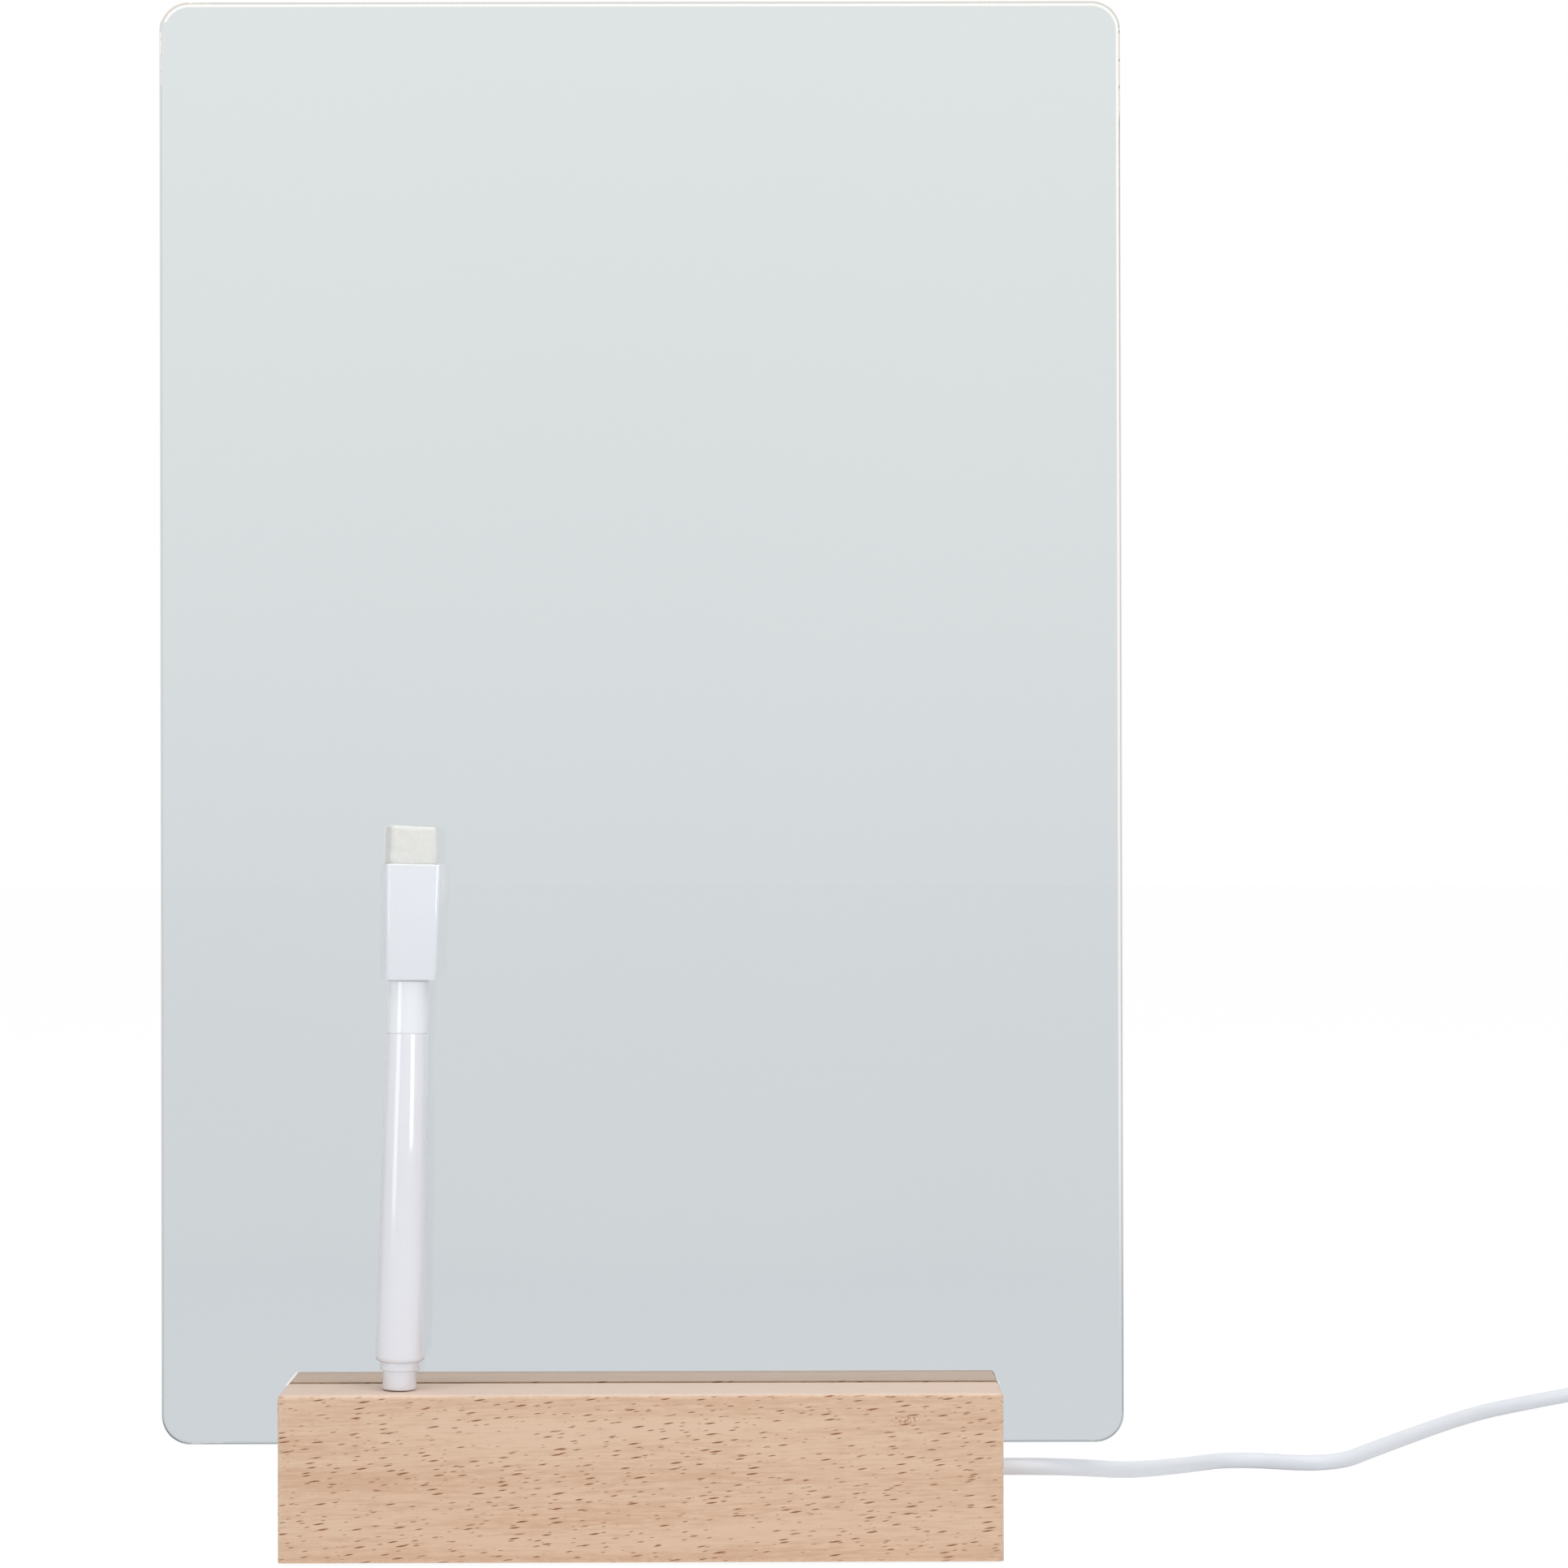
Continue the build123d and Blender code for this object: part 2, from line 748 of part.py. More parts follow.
plug_height = plug_body_height / 2
plug_x = 315.4
plug_y = 90.0
tail_route = [
    tuple(coil_end),
    tuple(coil_end + coil_direction(coil_turns) * 8),
    (plug_x, 100.0, plug_height),
    (plug_x, plug_y, plug_height),
]
with BuildPart() as cord_tail:
    with BuildLine() as tail_line:
        FilletPolyline(*tail_route, radius=route_radii(tail_route))
    with BuildSketch(Plane(origin=tail_line.line @ 0, z_dir=tail_line.line % 0)):
        Circle(cord_radius)
    sweep(path=tail_line.line)

# USB plug: moulded body with its boot, metal shell, tongue and contacts

body_back = plug_y
body_front = plug_y - plug_body_length
shell_front = body_front - shell_length
with BuildPart() as usb_body:
    with BuildSketch(Plane.XZ.offset(-body_back)):
        with Locations((plug_x, plug_height)):
            RectangleRounded(plug_body_width, plug_body_height, plug_body_round)
    extrude(amount=plug_body_length)
    fillet(usb_body.faces().sort_by(Axis.Y)[-1].edges(), radius=plug_body_round / 2)

with BuildPart() as usb_boot:
    with BuildSketch(Plane.XZ.offset(-body_back)):
        with Locations((plug_x, plug_height)):
            Circle(plug_boot_wide_radius)
    with BuildSketch(Plane.XZ.offset(-body_back - plug_boot_length)):
        with Locations((plug_x, plug_height)):
            Circle(plug_boot_narrow_radius)
    loft()
    with BuildSketch(Plane.XZ.offset(-body_back)):
        with Locations((plug_x, plug_height)):
            Circle(cord_radius + seat_gap)
    extrude(amount=-plug_boot_length, mode=Mode.SUBTRACT)

with BuildPart() as usb_shell:
    with BuildSketch(Plane.XZ.offset(-body_front)):
        with Locations((plug_x, plug_height)):
            RectangleRounded(shell_width, shell_height, shell_wall)
            Rectangle(shell_width - 2 * shell_wall, shell_height - 2 * shell_wall, mode=Mode.SUBTRACT)
    extrude(amount=shell_length)
    with BuildSketch(Plane.XY.offset(plug_height)):
        with Locations((plug_x, (body_front + shell_front) / 2)):
            with GridLocations(shell_width / 2, 0, 2, 1):
                Rectangle(shell_width / 5, shell_width / 5)
    extrude(amount=shell_height, mode=Mode.SUBTRACT)

tongue_top = plug_height + shell_height / 2 - shell_wall - seat_gap
tongue_bottom = tongue_top - tongue_thickness
with BuildPart() as usb_tongue:
    with BuildSketch(Plane.XY.offset(tongue_bottom)):
        with Locations((plug_x, body_front - tongue_length / 2)):
            Rectangle(tongue_width, tongue_length)
    extrude(amount=tongue_thickness)

with BuildPart() as usb_contacts:
    with BuildSketch(Plane.XY.offset(tongue_bottom)):
        with Locations((plug_x, body_front - tongue_length / 2)):
            with GridLocations(contact_pitch, 0, 4, 1):
                Rectangle(contact_width, tongue_length - contact_width)
    extrude(amount=-contact_thickness)

pieces = {
    "grip_pads": grip_pads,
    "bottom_cover": bottom_cover,
    "cover_screws": cover_screws,
    "wood_base": wood_base,
    "acrylic_board": acrylic_board,
    "led_board": led_board,
    "leds": leds,
    "led_resistors": led_resistors,
    "bar_screws": bar_screws,
    "cord_grommet": cord_grommet,
    "cord_inside": cord_inside,
    "cord_stop_tie": cord_stop_tie,
    "feed_wire_red": feed_wire_red,
    "feed_wire_black": feed_wire_black,
    "solder_joints": solder_joints,
    "marker_plug": marker_plug,
    "marker_barrel": marker_barrel,
    "marker_section": marker_section,
    "marker_nib": marker_nib,
    "ink_reservoir": ink_reservoir,
    "marker_cap": marker_cap,
    "eraser_felt": eraser_felt,
    "cord_lead": cord_lead,
    "switch_bottom": switch_bottom,
    "switch_top": switch_top,
    "switch_board": switch_board,
    "switch_button": switch_button,
    "switch_boots": switch_boots,
    "cord_middle": cord_middle,
    "cord_coil": cord_coil,
    "coil_tie": coil_tie,
    "cord_tail": cord_tail,
    "usb_boot": usb_boot,
    "usb_body": usb_body,
    "usb_shell": usb_shell,
    "usb_tongue": usb_tongue,
    "usb_contacts": usb_contacts,
}
for name, piece in pieces.items():
    piece.part.label = name
    export_step(piece.part, f"parts/{name}.step")

# Lengths, radii and volumes of the lead, and the coil's least gap to itself

for name, tube, line, route in (
    ("cord_lead", cord_lead, lead_line, lead_route),
    ("cord_middle", cord_middle, middle_line, middle_route),
    ("cord_tail", cord_tail, tail_line, tail_route),
):
    report_tube(name, tube.part, line_length(line), min(route_radii(route)))
    print("  radii", " ".join(f"{radius:.1f}" for radius in route_radii(route)))
report_tube("cord_coil", cord_coil.part, line_length(coil_line), coil_radius(coil_turns / 2))

samples_per_turn = 72
samples = [coil_point(step / samples_per_turn) for step in range(coil_turns * samples_per_turn + 1)]
least_gap = min(
    (samples[first] - samples[second]).length - cord_diameter
    for first in range(len(samples))
    for second in range(first + samples_per_turn // 2, len(samples))
)
print(f"coil's least gap to itself {least_gap:.2f}")
whole_lead = sum(line_length(line) for line in (lead_line, middle_line, coil_line, tail_line))
print(f"lead from the base to the plug {whole_lead + switch_length:.0f}")
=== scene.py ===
import math

import bmesh
import bpy
from mathutils import Matrix, Vector, noise


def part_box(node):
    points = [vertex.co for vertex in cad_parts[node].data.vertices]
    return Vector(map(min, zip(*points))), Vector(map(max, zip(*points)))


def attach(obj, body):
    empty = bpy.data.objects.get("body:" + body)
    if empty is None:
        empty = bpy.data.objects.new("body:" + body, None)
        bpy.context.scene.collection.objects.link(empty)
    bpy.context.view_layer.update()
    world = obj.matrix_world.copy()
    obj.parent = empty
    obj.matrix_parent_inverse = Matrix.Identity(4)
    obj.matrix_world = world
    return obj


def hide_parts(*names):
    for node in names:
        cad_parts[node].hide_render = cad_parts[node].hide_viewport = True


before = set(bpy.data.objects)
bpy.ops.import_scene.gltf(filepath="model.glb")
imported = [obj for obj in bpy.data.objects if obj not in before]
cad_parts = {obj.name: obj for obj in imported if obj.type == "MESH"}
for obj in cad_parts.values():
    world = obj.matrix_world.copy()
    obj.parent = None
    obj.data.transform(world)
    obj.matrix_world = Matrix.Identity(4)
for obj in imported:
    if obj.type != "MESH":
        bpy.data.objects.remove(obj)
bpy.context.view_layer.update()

bl_info = {
    "name": "LED Writing Board",
    "version": (1, 0, 0),
    "blender": (4, 5, 0),
    "location": "View3D > Sidebar > Writing Board",
    "description": "Dresses a clear writing board, its beech base, marker and lead",
    "category": "Object",
}

MM = 0.001
BUMP_DEPTH = 0.0002
COAT_ROUGHNESS = 0.05
COAT_IOR = 1.65
ACRYLIC_IOR = 1.49
BASE_LOW, BASE_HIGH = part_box("wood_base")
# Middle of the scar on the base's front, in millimetres
SCAR_PLACE = (54.0, -17.0, 29.6)
# A face of the base counts as top or end where its normal has this much of that axis
FACING = 0.7
# How far the beech's grain wanders, in millimetres, and how it rises to the right
WANDER = 3.0
FIBRE_SLOPE = 0.03
FLECK_SLOPE = 0.13
END_GRAIN_STRETCH = 2.5
BOARD_LOW, BOARD_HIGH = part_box("acrylic_board")
BOARD_CORNER = 0.006
# The sheet's paler foot, painted light on the wood seen through it: heights over the base's top
# where it starts, begins to fade and ends
FOOT_START, FOOT_FADE, FOOT_END = -0.0005, 0.0019, 0.0024
FOOT_NARROWING = 0.8
# The painted glow's line on the sheet's back: distances in from its outline, and its share of the
# glow
LINE_START, LINE_FULL, LINE_FADE, LINE_END = 0.00025, 0.0004, 0.00075, 0.00095
LINE_SHARE = 0.355
BEVEL_SHARE = 0.045

# Marker's own axis, as the construction has it: its foot, and how it leans and tilts
PEN_FOOT = Vector((-0.0498, -0.0097, 0.03499))
PEN_LEAN = math.radians(0.6)
PEN_TILT = math.radians(1.35)
CAP_TURN = math.radians(12)
PEN = (
    Matrix.Translation(PEN_FOOT)
    @ Matrix.Rotation(-PEN_LEAN, 4, "X")
    @ Matrix.Rotation(PEN_TILT, 4, "Y")
)
CAP = PEN @ Matrix.Rotation(CAP_TURN, 4, "Z")
# Rounding steps at the cap's and the eraser's rims, and faces round a boot
RIM_SEGMENTS = 3
BOOT_STEPS = 32

# Control points of the lead's line, from the base to the switch, in metres
LEAD_ROUTE = (
    (0.074, 0, 0.017),
    (0.084, 0, 0.017),
    (0.094, 0.008, 0.0152),
    (0.103, 0.026, 0.0116),
    (0.113, 0.052, 0.0076),
    (0.122, 0.082, 0.003),
    (0.1345, 0.097, 0.0018),
    (0.1565, 0.088, 0.0018),
    (0.1705, 0.112, 0.0018),
    (0.201, 0.1605, 0.0018),
    (0.22, 0.18, 0.0018),
    (0.242, 0.186, 0.0045),
    (0.255, 0.186, 0.0045),
)
# From the switch to the coil, and from the coil to the plug
MIDDLE_ROUTE = (
    (0.289, 0.186, 0.0045),
    (0.299, 0.186, 0.0045),
    (0.309, 0.181, 0.0032),
    (0.3146, 0.168, 0.0024),
)
TAIL_ROUTE = ((0.3154, 0.1, 0.004), (0.3154, 0.09, 0.004))
# The lead's thickness
LEAD_DIAMETER = 0.0036
# The coil winds in along the table, climbs within half a turn and winds out on top
COIL_MIDDLE = Vector((0.2865, 0.125, 0.00245))
COIL_OUTER = 0.0273
COIL_PITCH = 0.0042
COIL_RISE = 0.0042
COIL_TURNS = 6
COIL_CLIMB = 0.5
COIL_POINTS = 24
COIL_RUN_IN = 0.014
COIL_RUN_OUT = 0.008
# The switch's middle on the lead's axis, how far its boots stand from there, and the plug's back
SWITCH_MIDDLE = Vector((0.272, 0.186, 0.0045))
SWITCH_HALF_LENGTH = 0.017
PLUG_BACK = Vector(TAIL_ROUTE[-1])
# The floor seen by the camera is this much plain white, and the rest keeps the shadow
FLOOR_WHITE_SHARE = 0.86
FLOOR_WHITE = 1.09
# The floor's half width, and how far it lies under the object, so that no faces coincide
FLOOR_HALF = 6.0
FLOOR_DROP = 0.0001
LAMP_AIM_HEIGHT = 0.12


def srgb(red, green, blue):
    """A colour given as 0 to 255 screen values, as linear red, green, blue and alpha."""
    linear = [
        value / 12.92 if value <= 0.04045 else ((value + 0.055) / 1.055) ** 2.4
        for value in (red / 255, green / 255, blue / 255)
    ]
    return (*linear, 1.0)


# Node helpers


# Kinds of a node group's sockets
VECTOR, COLOUR, NUMBER = "NodeSocketVector", "NodeSocketColor", "NodeSocketFloat"


def wire(tree, source, target):
    """Links a socket to target, or writes a plain value there."""
    if isinstance(source, bpy.types.NodeSocket):
        tree.links.new(source, target)
    else:
        target.default_value = source


def calc(tree, operation, *values, clamp=False):
    """The result of a Math node with those values."""
    node = tree.nodes.new("ShaderNodeMath")
    node.operation = operation
    node.use_clamp = clamp
    for socket, value in zip(node.inputs, values):
        wire(tree, value, socket)
    return node.outputs[0]


def weighted_sum(tree, *shares):
    """The sum of values, each times its weight."""
    total = 0.0
    for value, weight in shares:
        total = calc(tree, "ADD", total, calc(tree, "MULTIPLY", value, weight))
    return total


def span(tree, value, low, high, out_low=0.0, out_high=1.0, smooth=True):
    """The value from low to high, spread over out_low to out_high and held at both ends."""
    node = tree.nodes.new("ShaderNodeMapRange")
    node.interpolation_type = "SMOOTHSTEP" if smooth else "LINEAR"
    for socket, number in zip(node.inputs, (value, low, high, out_low, out_high)):
        wire(tree, number, socket)
    return node.outputs[0]


def mixed(tree, share, first, second, way="MIX"):
    """Two colours blended in that way, with that share of the second."""
    node = tree.nodes.new("ShaderNodeMix")
    node.data_type = "RGBA"
    node.blend_type = way
    wire(tree, share, node.inputs[0])
    wire(tree, first, node.inputs[6])
    wire(tree, second, node.inputs[7])
    return node.outputs[2]


def scaled(tree, vector, scale, turn=(0, 0, 0)):
    """A vector stretched along each axis, for a pattern's size, and turned."""
    node = tree.nodes.new("ShaderNodeMapping")
    wire(tree, vector, node.inputs["Vector"])
    node.inputs["Rotation"].default_value = turn
    node.inputs["Scale"].default_value = scale
    return node.outputs[0]


def vector_calc(tree, operation, *values):
    """The result of a Vector Math node with those values."""
    node = tree.nodes.new("ShaderNodeVectorMath")
    node.operation = operation
    for socket, value in zip(node.inputs, values):
        wire(tree, value, socket)
    return node.outputs["Value" if operation == "LENGTH" else "Vector"]


def parts_of(tree, vector):
    """The x, y and z of a vector."""
    node = tree.nodes.new("ShaderNodeSeparateXYZ")
    wire(tree, vector, node.inputs[0])
    return node.outputs


def vector_of(tree, *parts):
    """The vector with those x, y and z."""
    node = tree.nodes.new("ShaderNodeCombineXYZ")
    for socket, part in zip(node.inputs, parts):
        wire(tree, part, socket)
    return node.outputs[0]


def grouped(tree, group, **given):
    """Puts a node group into the tree, with its inputs by name, and returns its outputs."""
    node = tree.nodes.new("ShaderNodeGroup")
    node.node_tree = group
    for label, value in given.items():
        wire(tree, value, node.inputs[label.replace("_", " ")])
    return node.outputs


def blended(tree, share, first, second, kind):
    """Shows a share of the second shader over the first, at the output node of that kind."""
    mix = tree.nodes.new("ShaderNodeMixShader")
    for socket, value in zip(mix.inputs, (share, first, second)):
        wire(tree, value, socket)
    output = next(node for node in tree.nodes if node.type == kind)
    wire(tree, mix.outputs[0], output.inputs["Surface"])


def seen_rays(tree):
    """1 for rays from the camera, off a gloss or through the clear sheet, and 0 for all others."""
    path = tree.nodes.new("ShaderNodeLightPath")
    seen = calc(tree, "MAXIMUM", path.outputs["Is Camera Ray"], path.outputs["Is Glossy Ray"])
    return calc(tree, "MAXIMUM", seen, path.outputs["Is Transmission Ray"])


def cloudy(tree, vector, scale, detail=3.0, rough=0.5):
    """Soft noise, mostly between 0.3 and 0.7."""
    node = tree.nodes.new("ShaderNodeTexNoise")
    wire(tree, vector, node.inputs["Vector"])
    wire(tree, scale, node.inputs["Scale"])
    node.inputs["Detail"].default_value = detail
    node.inputs["Roughness"].default_value = rough
    return node.outputs[0]


def new_group(name, inputs, outputs):
    """An empty node group with named sockets, and its input and output nodes."""
    group = bpy.data.node_groups.new(name, "ShaderNodeTree")
    for direction, sockets in (("INPUT", inputs), ("OUTPUT", outputs)):
        for label, kind in sockets:
            group.interface.new_socket(name=label, in_out=direction, socket_type=kind)
    start = group.nodes.new("NodeGroupInput")
    end = group.nodes.new("NodeGroupOutput")
    return group, start.outputs, end.inputs


def uneven_tone_group():
    """Colour that is a little lighter and darker in soft patches, as moulded plastic is."""
    name = "uneven tone"
    if name in bpy.data.node_groups:
        return bpy.data.node_groups[name]
    group, given, out = new_group(
        name,
        (("Vector", VECTOR), ("Colour", COLOUR), ("Scale", NUMBER), ("Amount", NUMBER)),
        (("Colour", COLOUR),),
    )
    patches = cloudy(group, given["Vector"], given["Scale"], 3.0, 0.55)
    fine = cloudy(group, given["Vector"], calc(group, "MULTIPLY", given["Scale"], 9.0), 2.0)
    both = weighted_sum(group, (patches, 0.7), (fine, 0.3))
    away = calc(group, "MULTIPLY", calc(group, "SUBTRACT", both, 0.5), given["Amount"])
    shade = calc(group, "ADD", away, 1.0)
    tint = group.nodes.new("ShaderNodeCombineColor")
    for socket in tint.inputs:
        wire(group, shade, socket)
    wire(group, mixed(group, 1.0, given["Colour"], tint.outputs[0], "MULTIPLY"), out["Colour"])
    return group


def fine_surface_group():
    """Roughness and height of a fine moulded or rubbed surface."""
    name = "fine surface"
    if name in bpy.data.node_groups:
        return bpy.data.node_groups[name]
    group, given, out = new_group(
        name,
        (("Vector", VECTOR), ("Roughness", NUMBER), ("Scale", NUMBER), ("Smears", NUMBER)),
        (("Roughness", NUMBER), ("Height", NUMBER)),
    )
    smear = cloudy(group, scaled(group, given["Vector"], (1, 1, 0.25)), 160.0, 4.0, 0.6)
    away = calc(group, "MULTIPLY", calc(group, "SUBTRACT", smear, 0.5), given["Smears"])
    wire(group, calc(group, "ADD", given["Roughness"], away, clamp=True), out["Roughness"])
    wire(group, cloudy(group, given["Vector"], given["Scale"], 4.0, 0.6), out["Height"])
    return group


def new_material(name):
    """A new material; returns it, its tree, its Principled shader and its coordinates."""
    material = bpy.data.materials.new(name)
    material.use_nodes = True
    tree = material.node_tree
    shader = next(node for node in tree.nodes if node.type == "BSDF_PRINCIPLED")
    place = tree.nodes.new("ShaderNodeTexCoord")
    return material, tree, shader, place


def add_bump(tree, shader, height, strength):
    """Makes the surface look uneven by a height map."""
    bump = tree.nodes.new("ShaderNodeBump")
    bump.inputs["Strength"].default_value = strength
    bump.inputs["Distance"].default_value = BUMP_DEPTH
    wire(tree, height, bump.inputs["Height"])
    wire(tree, bump.outputs[0], shader.inputs["Normal"])


def moulded(
    name, colour, roughness, metallic=0.0, tone=0.06, patch=60.0, grain=900.0, bump=0.05,
    smears=0.12, sheen=0.0, coat=0.0, glow=0.0,
):
    """A plain finish with uneven tone, smears and a fine surface, made once for each name."""
    # The construction's own plain materials already have the bare names
    label = f"{name}_finish"
    if label in bpy.data.materials:
        return bpy.data.materials[label]
    material, tree, shader, place = new_material(label)
    shade = grouped(
        tree, uneven_tone_group(), Vector=place.outputs["Object"], Colour=colour, Scale=patch,
        Amount=tone,
    )["Colour"]
    wire(tree, shade, shader.inputs["Base Color"])
    surface = grouped(
        tree, fine_surface_group(), Vector=place.outputs["Object"], Roughness=roughness,
        Scale=grain, Smears=smears,
    )
    wire(tree, surface["Roughness"], shader.inputs["Roughness"])
    add_bump(tree, shader, surface["Height"], bump)
    shader.inputs["Metallic"].default_value = metallic
    shader.inputs["Sheen Weight"].default_value = sheen
    shader.inputs["Coat Weight"].default_value = coat
    shader.inputs["Coat Roughness"].default_value = COAT_ROUGHNESS
    shader.inputs["Coat IOR"].default_value = COAT_IOR
    if glow:
        wire(tree, shade, shader.inputs["Emission Color"])
        shader.inputs["Emission Strength"].default_value = glow
    return material


def jacket_finish(settings):
    """Soft white jacket, for the lead, the boots and the lead's inner end."""
    return moulded("cord_jacket", settings.jacket, 0.38, tone=0.05)


def shell_finish(settings):
    """White plastic of the switch's shells and the plug's body."""
    return moulded("switch_white", settings.shell, 0.42, bump=0.12)


def screw_finish():
    """Bright steel, for all screws."""
    return moulded("screw_steel", srgb(196, 197, 199), 0.32, metallic=1.0)


# Beech


def flecks(group, grain, length, height, size, spread, offset):
    """Short pointed dashes: one to a cell, of uneven size, some of them left out."""
    cell = group.nodes.new("ShaderNodeTexVoronoi")
    cell.voronoi_dimensions = "2D"
    cell.distance = "MINKOWSKI"
    cell.inputs["Exponent"].default_value = 1.4
    cell.inputs["Scale"].default_value = 1.0
    cells = scaled(group, grain, (1 / length, 1 / height, 1))
    cells = vector_calc(group, "ADD", cells, (offset, offset * 1.7, 0))
    wire(group, cells, cell.inputs["Vector"])
    chance = group.nodes.new("ShaderNodeSeparateColor")
    wire(group, cell.outputs["Color"], chance.inputs[0])
    reach = calc(group, "MULTIPLY_ADD", chance.outputs[0], spread, size)
    depth = calc(group, "DIVIDE", cell.outputs["Distance"], reach)
    dash = span(group, depth, 1.0, 0.6)
    return calc(group, "MULTIPLY", dash, span(group, chance.outputs[1], 0.35, 0.55))


def scar(group, place):
    """A small dark hatched scar near the right end of the front."""
    away = vector_calc(group, "SUBTRACT", place, SCAR_PLACE)
    reach = vector_calc(group, "LENGTH", scaled(group, away, (0.3, 0.5, 1.1)))
    hatch = cloudy(group, scaled(group, away, (2.2, 0.4, 1.6), (0, 0.5, 0)), 1.0, 2.0)
    return calc(group, "MULTIPLY", span(group, reach, 1.2, 0.2), span(group, hatch, 0.45, 0.6))


def beech_group():
    """Beech: long fibres, soft bands and short dark flecks along X, dots on the end grain, painted
    light on the top and painted shade along the lower edge.
    """
    group, given, out = new_group(
        "beech grain",
        (
            ("Vector", VECTOR), ("Normal", VECTOR), ("Pale", COLOUR), ("Warm", COLOUR),
            ("Top", COLOUR), ("Fleck", COLOUR),
        ),
        (("Colour", COLOUR), ("Roughness", NUMBER), ("Height", NUMBER)),
    )
    place = scaled(group, given["Vector"], (1 / MM, 1 / MM, 1 / MM))
    x, y, z = parts_of(group, place)
    normal_x, _, normal_z = parts_of(group, given["Normal"])
    top = calc(group, "GREATER_THAN", calc(group, "ABSOLUTE", normal_z), FACING)
    end = calc(group, "GREATER_THAN", calc(group, "ABSOLUTE", normal_x), FACING)

    # The grain wanders a little; the flecks rise to the right, the fibres lie nearly level
    wander = cloudy(group, scaled(group, given["Vector"], (14, 14, 30)), 1.0, 1.0)
    wander = calc(group, "MULTIPLY", calc(group, "SUBTRACT", wander, 0.5), WANDER)
    upright = calc(group, "SUBTRACT", 1.0, top)
    level = calc(group, "MULTIPLY", calc(group, "ADD", z, wander), upright)
    across = calc(group, "ADD", calc(group, "MULTIPLY", y, top), level)
    end_along = calc(group, "MULTIPLY", calc(group, "MULTIPLY", y, END_GRAIN_STRETCH), end)
    long_along = calc(group, "MULTIPLY", x, calc(group, "SUBTRACT", 1.0, end))
    along = calc(group, "ADD", end_along, long_along)

    def sloped(slope):
        """Place along, across and through the grain, which rises by the slope."""
        rise = calc(group, "MULTIPLY", calc(group, "MULTIPLY", x, slope), upright)
        through = calc(group, "MULTIPLY", y, 0.2)
        return vector_of(group, along, calc(group, "SUBTRACT", across, rise), through)

    grain = sloped(FIBRE_SLOPE)
    fleck_grain = sloped(FLECK_SLOPE)

    fibre = cloudy(group, scaled(group, grain, (0.14, 2.1, 0.5)), 1.0, 4.0, 0.65)
    band = cloudy(group, scaled(group, grain, (0.012, 0.2, 0.16)), 1.0, 3.0, 0.5)
    mottle = cloudy(group, scaled(group, grain, (0.3, 0.9, 0.3)), 1.0, 3.0, 0.6)

    large = flecks(group, fleck_grain, 8.0, 1.0, 0.09, 0.12, 0.0)
    small = flecks(group, fleck_grain, 5.2, 0.82, 0.07, 0.12, 31.0)
    quiet = calc(group, "SUBTRACT", 1.0, calc(group, "MULTIPLY", top, 0.85))
    large = calc(group, "MULTIPLY", large, quiet)
    small = calc(group, "MULTIPLY", calc(group, "MULTIPLY", small, 0.75), quiet)

    tone = weighted_sum(group, (band, 0.4), (fibre, 0.4), (mottle, 0.2))
    colour = mixed(group, span(group, tone, 0.40, 0.63), given["Pale"], given["Warm"])
    # Painted shade: darker and warmer towards the bottom edge
    painted_low_shade = calc(group, "MULTIPLY", span(group, z, 3.2, 0.8), 0.35)
    colour = mixed(group, painted_low_shade, colour, given["Warm"])
    # Painted light: the top face is mixed towards the lighter, paler Top colour, as if lit from
    # above
    colour = mixed(group, calc(group, "MULTIPLY", top, 0.6), colour, given["Top"])
    scarred = calc(group, "MULTIPLY", scar(group, place), 0.7)
    dark = calc(group, "MAXIMUM", calc(group, "MAXIMUM", large, small), scarred)
    colour = mixed(group, calc(group, "MULTIPLY", dark, 0.95), colour, given["Fleck"])
    wire(group, colour, out["Colour"])
    wire(group, span(group, fibre, 0.3, 0.7, 0.48, 0.62), out["Roughness"])
    wire(group, weighted_sum(group, (fibre, 0.5), (dark, -0.6)), out["Height"])
    return group


def edge_highlight_group():
    """How near a point is to an edge of a block, for a painted highlight: 1 on the edge and 0 a
    highlight's width away.
    """
    group, given, out = new_group(
        "edge wear",
        (("Vector", VECTOR), ("Half Size", VECTOR), ("Middle", VECTOR), ("Width", NUMBER)),
        (("Mask", NUMBER),),
    )
    away = vector_calc(group, "SUBTRACT", given["Vector"], given["Middle"])
    away = vector_calc(group, "ABSOLUTE", away)
    x, y, z = parts_of(group, vector_calc(group, "SUBTRACT", given["Half Size"], away))
    least = calc(group, "MINIMUM", calc(group, "MINIMUM", x, y), z)
    most = calc(group, "MAXIMUM", calc(group, "MAXIMUM", x, y), z)
    total = calc(group, "ADD", calc(group, "ADD", x, y), z)
    second = calc(group, "SUBTRACT", calc(group, "SUBTRACT", total, least), most)
    ragged = cloudy(group, given["Vector"], 700.0, 3.0)
    reach = calc(group, "MULTIPLY", given["Width"], span(group, ragged, 0.3, 0.7, 0.4, 1.6))
    wire(group, span(group, calc(group, "DIVIDE", second, reach), 1.0, 0.0), out["Mask"])
    return group


